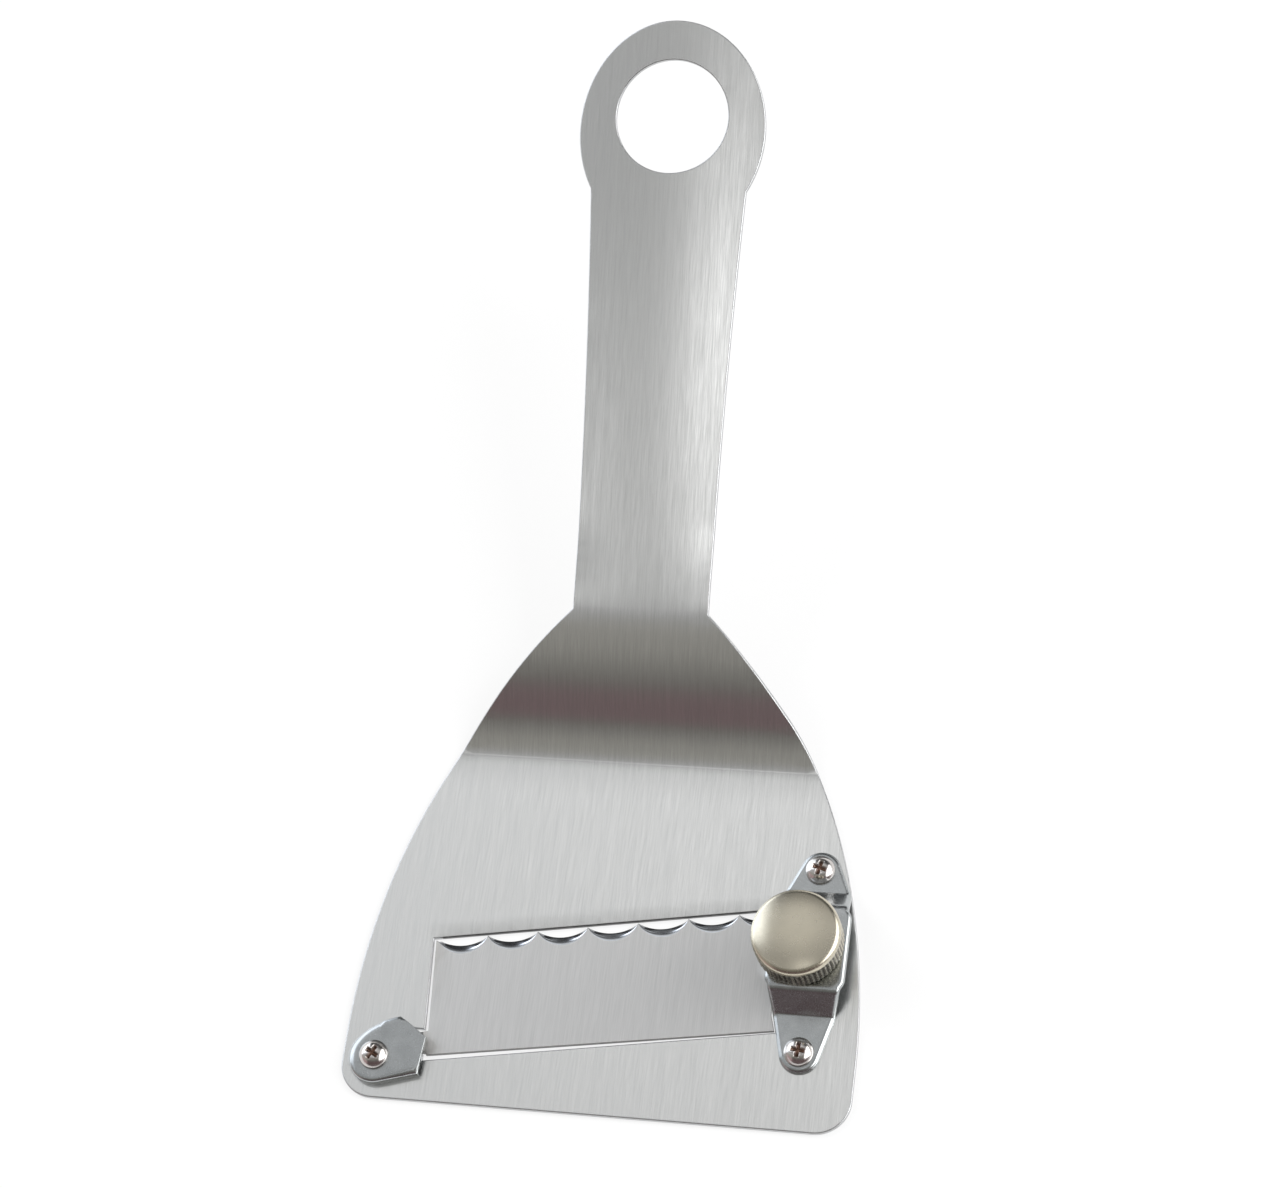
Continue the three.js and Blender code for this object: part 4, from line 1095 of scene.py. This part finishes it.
def pan_screw(name, node, seat, place, turn):
    """A pan-head screw, its cross recess turned clockwise by some radians. The head's upper face is a dome
    over a polar grid, sunk where the recess lies: the depth grows from 0 to full over the recess wall, by
    the distance inside the nearer arm's outline. The sunk recess is darkened with painted shade."""
    shank, head = SCREW_DIAMETER / 2, HEAD_DIAMETER / 2
    under = seat + SEAT
    tip = 2 * SEAT
    top = under + HEAD_HEIGHT
    columns = 120
    angle = np.linspace(0, 2 * np.pi, columns, endpoint=False) + turn
    face, crown = dome(head, top, HEAD_DROP, HEAD_DOME, 44)
    radius = [shank - 2 * SEAT, shank, shank, head - SEAT, head, head, *face]
    height = [tip, tip + 2 * SEAT, under, under, under + SEAT, top - HEAD_DROP - SEAT, *crown]
    x, y = np.outer(radius, np.cos(angle)), np.outer(radius, np.sin(angle))
    arm_a = np.minimum(RECESS_LENGTH / 2 - np.abs(x), RECESS_WIDTH / 2 - np.abs(y))
    arm_b = np.minimum(RECESS_WIDTH / 2 - np.abs(x), RECESS_LENGTH / 2 - np.abs(y))
    sunk = np.clip(np.maximum(arm_a, arm_b) / RECESS_WALL + 0.5, 0, 1)
    sunk[:len(radius) - len(face)] = 0
    height = np.array(height)[:, None] - RECESS_DEPTH * sunk
    points, faces = turned(radius, height, place[0], place[1], columns)
    # Painted shade: the recess is darkened in colour as far as it is sunk.
    shade = np.concatenate([sunk.ravel(), [0, 1]])
    build(name, points, faces, "frame", node, [screw_nickel], shade=shade)


# Adjuster

def knob():
    """A domed cap over a knurled rim: rows of the profile, the rim's rows pressed in between the ribs and
    darkened there with painted shade. The cap is a power curve that meets the rounded edge at its lean."""
    radius = KNOB_DIAMETER / 2
    columns = KNOB_RIBS * 6
    lean = math.radians(KNOB_LEAN)
    cap = radius - KNOB_EDGE * (1 - math.sin(lean))
    drop = math.tan(lean) * cap / KNOB_DOME
    rim_top = knob_top - drop - KNOB_EDGE * math.cos(lean)
    edge = np.linspace(0, math.pi / 2 - lean, 14)
    socket = STEM_DIAMETER / 2 + SEAT
    wave = 0.5 - 0.5 * np.cos(np.linspace(0, 2 * np.pi * KNOB_RIBS, columns, endpoint=False))
    knurl = KNURL_DEPTH * wave**KNURL_POWER
    start, full, ribs = (knob_bottom + KNOB_CHAMFER * share for share in KNURL_ROWS)
    rows = [
        (FIT, knob_bottom + KNOB_SOCKET, 0),
        (socket, knob_bottom + KNOB_SOCKET, 0),
        (socket, knob_bottom, 0),
        (radius - KNOB_CHAMFER - KNURL_DEPTH, knob_bottom, 0),
        (radius - FIT - knurl * KNURL_START, start, wave * KNURL_START),
        (radius - knurl, full, wave),
        *[(radius - knurl, z, wave) for z in np.linspace(ribs, rim_top - KNOB_CHAMFER, 6)],
        (radius - knurl * KNURL_STOP, rim_top - KNOB_CHAMFER / 2, wave * KNURL_STOP),
        *[(radius - KNOB_EDGE * (1 - math.cos(a)), rim_top + KNOB_EDGE * math.sin(a), 0) for a in edge],
        *[(r, z, 0) for r, z in zip(*dome(cap, knob_top, drop, KNOB_DOME, 30))],
    ]
    points, faces = turned([row[0] for row in rows], [row[1] for row in rows], knob_x, bridge_y, columns)
    # Painted shade: the third value of each row darkens the knurl's grooves in colour.
    shade = np.concatenate([*[np.broadcast_to(row[2], columns) for row in rows], [0, 0]])
    build("knob_cap", points, faces, "adjuster", "knob", [knob_nickel], shade=shade)


def adjuster_stem():
    """The stem: a plain pin, then a right-hand thread whose radius falls and rises once each pitch,
    with phase z / pitch - angle / turn."""
    columns = 48
    angle = np.linspace(0, 1, columns, endpoint=False)
    top = knob_bottom + KNOB_SOCKET - SEAT
    levels = np.arange(stem_shoulder + THREAD_START, knob_bottom + THREAD_PAST, THREAD_PITCH / 10)
    groove = [THREAD_DEPTH * (0.5 - 0.5 * np.cos(2 * np.pi * (z / THREAD_PITCH - angle))) for z in levels]
    pin, thread = PIN_DIAMETER / 2, STEM_DIAMETER / 2
    rows = [
        (pin - SEAT, stem_clip_bottom),
        (pin, stem_clip_bottom + SEAT),
        (pin, stem_shoulder),
        (thread - THREAD_DEPTH, stem_shoulder),
        *[(thread - g, z) for g, z in zip(groove, levels)],
        (thread, knob_bottom + THREAD_PAST + THREAD_RUNOUT),
        (thread, top - SEAT),
        (thread - SEAT, top),
    ]
    points, faces = turned([r for r, _ in rows], [z for _, z in rows], knob_x, bridge_y, columns)
    build("stem_thread", points, faces, "adjuster", "adjuster_stem", [turned_steel])


def ring_piece(name, node, body, profile):
    """A turned ring: a closed profile of (radius, height) corners, each softened by a small chamfer."""
    soft = []
    corner = np.array(profile, float)
    for before, here, after in zip(np.roll(corner, 1, axis=0), corner, np.roll(corner, -1, axis=0)):
        for other in (before, after):
            way = (other - here) / np.linalg.norm(other - here)
            soft.append(here + way * SEAT)
    points, faces = turned([r for r, _ in soft], [z for _, z in soft], knob_x, bridge_y, 72, bore=True)
    build(name, points, faces, body, node, [turned_steel])


def thread_bush():
    """The flanged bush in the bridge's top."""
    bore = STEM_DIAMETER / 2 + FIT
    shank = BUSH_SHANK / 2 - SEAT
    ring_piece("thread_bush_ring", "thread_bush", "frame", [
        (bore, bridge_inside),
        (shank, bridge_inside),
        (shank, bridge_top + SEAT),
        (BUSH_FLANGE / 2, bridge_top + SEAT),
        (BUSH_FLANGE / 2, bush_top),
        (bore, bush_top),
    ])


def thrust_washer():
    """The flat washer between the stem's shoulder and the tongue."""
    bore = PIN_DIAMETER / 2 + FIT
    ring_piece("thrust_washer_ring", "thrust_washer", "lift", [
        (bore, washer_bottom),
        (WASHER_DIAMETER / 2, washer_bottom),
        (WASHER_DIAMETER / 2, washer_top),
        (bore, washer_top),
    ])


def stem_clip():
    """A snap ring: two arcs joined at the mouth, extruded with rounded edges."""
    outer, inner = STEM_CLIP_DIAMETER / 2, PIN_DIAMETER / 2 + SEAT
    open_outer = math.degrees(math.asin(STEM_CLIP_MOUTH / 2 / outer))
    open_inner = math.degrees(math.asin(STEM_CLIP_MOUTH / 2 / inner))
    loop = chain(
        arc(0, 0, outer, open_outer, 360 - open_outer, 60),
        arc(0, 0, inner, 360 - open_inner, open_inner, 40),
    )
    rings = edge_rings([loop], STEM_CLIP_THICKNESS, STEM_CLIP_EDGE, 2)
    flat, faces, _, _ = sheet(rings, RING_STEP, RING_CLEAR)
    points = flat + (knob_x, bridge_y, stem_clip_bottom + STEM_CLIP_THICKNESS / 2)
    build("stem_clip_ring", points, faces, "adjuster", "stem_clip", [turned_steel])


body_plate()
blade()
blade_clip()
bridge()
pan_screw("clip_screw_head", "clip_screw", clip_top, screw_places[0], turn=0.5)
pan_screw("bridge_screw_upper_head", "bridge_screw_upper", foot_top, screw_places[1], turn=0.25)
pan_screw("bridge_screw_lower_head", "bridge_screw_lower", foot_top, screw_places[2], turn=0.1)
knob()
adjuster_stem()
thread_bush()
thrust_washer()
stem_clip()


# Studio

FLOOR_SIZE = 3.0  # half its width, in metres
FLOOR_COLOUR = (0.9, 0.9, 0.9, 1)
FLOOR_GLOW = 0.75  # share of plain white to the rays that see the floor directly
FILL_LEVEL = 0.9

# The camera: place in plan, turns in degrees
CAMERA_PLACE = (130.87, -215.15, 554.27)
CAMERA_TURN = 28.4713
CAMERA_TIP = 27.0966
CAMERA_ROLL = -22.9556
CAMERA_LENS = 97.94
CAMERA_SENSOR = 36.0
CAMERA_NEAR = 0.01

# The tent: levels over the arch, and shares over the arch or from side to side
TENT_RADIUS = 2.5
TENT_SIDE = 89.5  # just short of its two poles
ARCH_ANGLES = (
    -90, -58, -46, -34, -22, -16, 0, 7, 10, 12, 13.5, 15.2, 16.8, 18, 20.5, 25, 30, 37, 42, 50, 57, 90,
)
ARCH_LEVELS = (
    0.10, 0.10, 0.28, 0.70, 0.78, 0.68, 0.47, 0.325, 0.41, 0.425, 0.475, 0.64, 0.49, 0.37, 0.32, 0.285,
    0.26, 0.25, 0.22, 0.165, 0.125, 0.11,
)
LIFT_ANGLES = (8, 12, 15.5, 17, 19)
LIFT_SHARES = (0, 0.30, 0.30, 1.2, 0)
FIELD_ANGLES = (3, 7.5, 8.5, 10.5, 11.8, 13.4, 15.1, 16.4, 17.2, 18, 20, 23)
FIELD_SHARES = (0, 0.24, 0.42, 0.82, 0.98, 0.74, 0.62, 0.40, 0.02, -0.12, -0.10, 0)
SIDE_ANGLES = (-45, -25, -17, -9, 0, 20)
SIDE_SHARES = (0.50, 0.72, 0.865, 1.12, 1.02, 0.82)
WARM_TINT = (1.03, 1.0, 0.92)
FRONT_TINT = (1.2, 0.88, 0.9)
LEFT_WINDOW_TINT = (0.95, 1.0, 1.08)
LEFT_WINDOW_LEVEL = 2.3
WINDOW_LEVEL = 4.0
FIELD_LEVEL = 1.7
LEFT_LEVEL = 0.42

# Angles between which a part of the glow fades in
BACK_FADE = (-8, 4)
OVERHEAD_FADE = (-20, 0)
WARM_FADE = (20, 28)
FRONT_FADE = (52, 62)
RIGHT_SIDE_FADE = (40, 50)
RIGHT_BACK_FADE = (-80, -66)
RIGHT_FRONT_FADE = (50, 66)
LEFT_SIDE_FADE = (26, 34)
DULL_SIDE_FADE = (30, 45)
LIFT_SIDE_FADE = (16, 25)
FIELD_LEFT_FADE = (-9, -1)
FIELD_RIGHT_FADE = (5, 11)


def empty_tree(owner):
    """The node tree of a material or world, with no node in it yet."""
    owner.use_nodes = True
    owner.node_tree.nodes.clear()
    return owner.node_tree


def seen_directly(tree):
    """1 for camera, glossy and transmission rays, which all see the white backdrop, else 0."""
    rays = new_node(tree, "ShaderNodeLightPath").outputs
    mirrored = calculate(tree, "MAXIMUM", rays["Is Camera Ray"], rays["Is Glossy Ray"])
    return calculate(tree, "MAXIMUM", mirrored, rays["Is Transmission Ray"])


def mixed(tree, share, first, second, output):
    """Two shaders mixed by a share and led to an output node."""
    mix = new_node(tree, "ShaderNodeMixShader", Fac=share)
    feed(tree, first.outputs[0], mix.inputs[1])
    feed(tree, second.outputs[0], mix.inputs[2])
    new_node(tree, output, Surface=mix.outputs[0])


def floor():
    """A white floor that keeps a soft shadow: part of it glows white to the rays that see it directly."""
    corners = [(x * FLOOR_SIZE, y * FLOOR_SIZE, 0) for x, y in ((-1, -1), (1, -1), (1, 1), (-1, 1))]
    mesh = bpy.data.meshes.new("floor")
    mesh.from_pydata(corners, [], [(0, 1, 2, 3)])
    material = bpy.data.materials.new("white_floor")
    tree = empty_tree(material)
    matt = new_node(tree, "ShaderNodeBsdfDiffuse", Color=FLOOR_COLOUR)
    glow = new_node(tree, "ShaderNodeEmission")
    share = calculate(tree, "MULTIPLY", seen_directly(tree), FLOOR_GLOW)
    mixed(tree, share, matt, glow, "ShaderNodeOutputMaterial")
    mesh.materials.append(material)
    add("floor", mesh)


def tent_glow(side, arch):
    """The tent's glow at a side angle, -90 left to 90 right, and an arch angle, -90 back over 0 overhead to
    90 front. It follows a curve over the arch, whose back brightens from left to right. In front it is
    warm, and reddish further down. There is a window on the right, another at the left back, a dull left
    front, a lift beside that and a bright field with a darker border in the middle."""
    level = np.interp(arch, ARCH_ANGLES, ARCH_LEVELS)
    back = 1 - soft_step(arch, *BACK_FADE)
    level = level * (1 + back * (np.interp(side, SIDE_ANGLES, SIDE_SHARES) - 1))
    dull = soft_step(-side, *DULL_SIDE_FADE) * soft_step(arch, *OVERHEAD_FADE)
    lift = soft_step(-side, *LIFT_SIDE_FADE) * np.interp(arch, LIFT_ANGLES, LIFT_SHARES)
    level = (level + dull * (LEFT_LEVEL - level)) * (1 + lift)
    middle = soft_step(side, *FIELD_LEFT_FADE) * (1 - soft_step(side, *FIELD_RIGHT_FADE))
    level = level + middle * np.interp(arch, FIELD_ANGLES, FIELD_SHARES) * (FIELD_LEVEL - level)
    tint = 1 + soft_step(arch, *WARM_FADE)[..., None] * (np.array(WARM_TINT) - 1)
    tint = tint + soft_step(arch, *FRONT_FADE)[..., None] * (np.array(FRONT_TINT) - tint)
    glow = level[..., None] * tint
    left = soft_step(-side, *LEFT_SIDE_FADE) * (1 - soft_step(arch, *OVERHEAD_FADE))
    right = soft_step(side, *RIGHT_SIDE_FADE) * soft_step(arch, *RIGHT_BACK_FADE)
    right = right * (1 - soft_step(arch, *RIGHT_FRONT_FADE))
    for share, light in ((left, LEFT_WINDOW_LEVEL * np.array(LEFT_WINDOW_TINT)), (right, WINDOW_LEVEL)):
        glow = glow + share[..., None] * (light - glow)
    return glow


def tent():
    """Half a sphere over the object that only reflections see, on a grid of the side angle s and the arch
    angle a: x = r sin s, y = -r cos s sin a, z = r cos s cos a."""
    side, arch = np.meshgrid(np.linspace(-TENT_SIDE, TENT_SIDE, 120), np.linspace(-90, 90, 181))
    s, a = np.radians(side), np.radians(arch)
    points = TENT_RADIUS * np.stack([np.sin(s), -np.cos(s) * np.sin(a), np.cos(s) * np.cos(a)], axis=-1)
    at = np.arange(side.size).reshape(side.shape)
    quads = np.stack([at[:-1, :-1], at[:-1, 1:], at[1:, 1:], at[1:, :-1]], axis=-1).reshape(-1, 4)
    mesh = bpy.data.meshes.new("tent")
    mesh.from_pydata(points.reshape(-1, 3).tolist(), [], quads.tolist())
    glow = np.ones((side.size, 4), np.float32)
    glow[:, :3] = tent_glow(side, arch).reshape(-1, 3)
    layer = mesh.attributes.new("glow", "FLOAT_COLOR", "POINT")
    layer.data.foreach_set("color", glow.ravel())
    material = bpy.data.materials.new("tent_cloth")
    tree = empty_tree(material)
    colour = new_node(tree, "ShaderNodeAttribute")
    colour.attribute_name = "glow"
    light = new_node(tree, "ShaderNodeEmission", Color=colour.outputs["Color"])
    new_node(tree, "ShaderNodeOutputMaterial", Surface=light.outputs[0])
    mesh.materials.append(material)
    piece = add("tent", mesh)
    piece.visible_camera = False
    piece.visible_diffuse = False
    piece.visible_shadow = False


def lamp(name, place, size, power):
    """A soft rectangular lamp that faces the object and that reflections don't see."""
    data = bpy.data.lights.new(name, "AREA")
    data.shape = "RECTANGLE"
    data.size, data.size_y = size
    data.energy = power
    light = add(name, data)
    light.visible_glossy = False
    facing = Vector(place).to_track_quat("Z", "Y").to_matrix().to_4x4()
    light.matrix_world = Matrix.Translation(place) @ facing


def world():
    """Even white surroundings, and a softer level for the light that falls on matt surfaces."""
    surroundings = bpy.data.worlds.new("studio")
    bpy.context.scene.world = surroundings
    tree = empty_tree(surroundings)
    fill = new_node(tree, "ShaderNodeBackground", Strength=FILL_LEVEL)
    white = new_node(tree, "ShaderNodeBackground")
    mixed(tree, seen_directly(tree), fill, white, "ShaderNodeOutputWorld")


def camera():
    """The photograph's view: place in plan, then turned about Z, tipped about X and rolled about its own
    axis."""
    data = bpy.data.cameras.new("camera")
    data.sensor_width = CAMERA_SENSOR
    data.lens = CAMERA_LENS
    data.clip_start = CAMERA_NEAR
    eye = add("camera", data)
    place = (np.array(CAMERA_PLACE) + plan_to_frame) * MM
    turns = ((CAMERA_TURN, "Z"), (CAMERA_TIP, "X"), (CAMERA_ROLL, "Z"))
    turn, tip, roll = (Matrix.Rotation(math.radians(angle), 4, axis) for angle, axis in turns)
    eye.matrix_world = Matrix.Translation(place) @ turn @ tip @ roll
    bpy.context.scene.camera = eye


floor()
world()
camera()
tent()
lamp("right_window", place=(0.9, 0.1, 0.7), size=(0.5, 0.8), power=8.0)
lamp("left_window", place=(-0.9, 0.25, 0.6), size=(0.4, 0.8), power=5.0)

bpy.context.scene.view_settings.view_transform = "Standard"
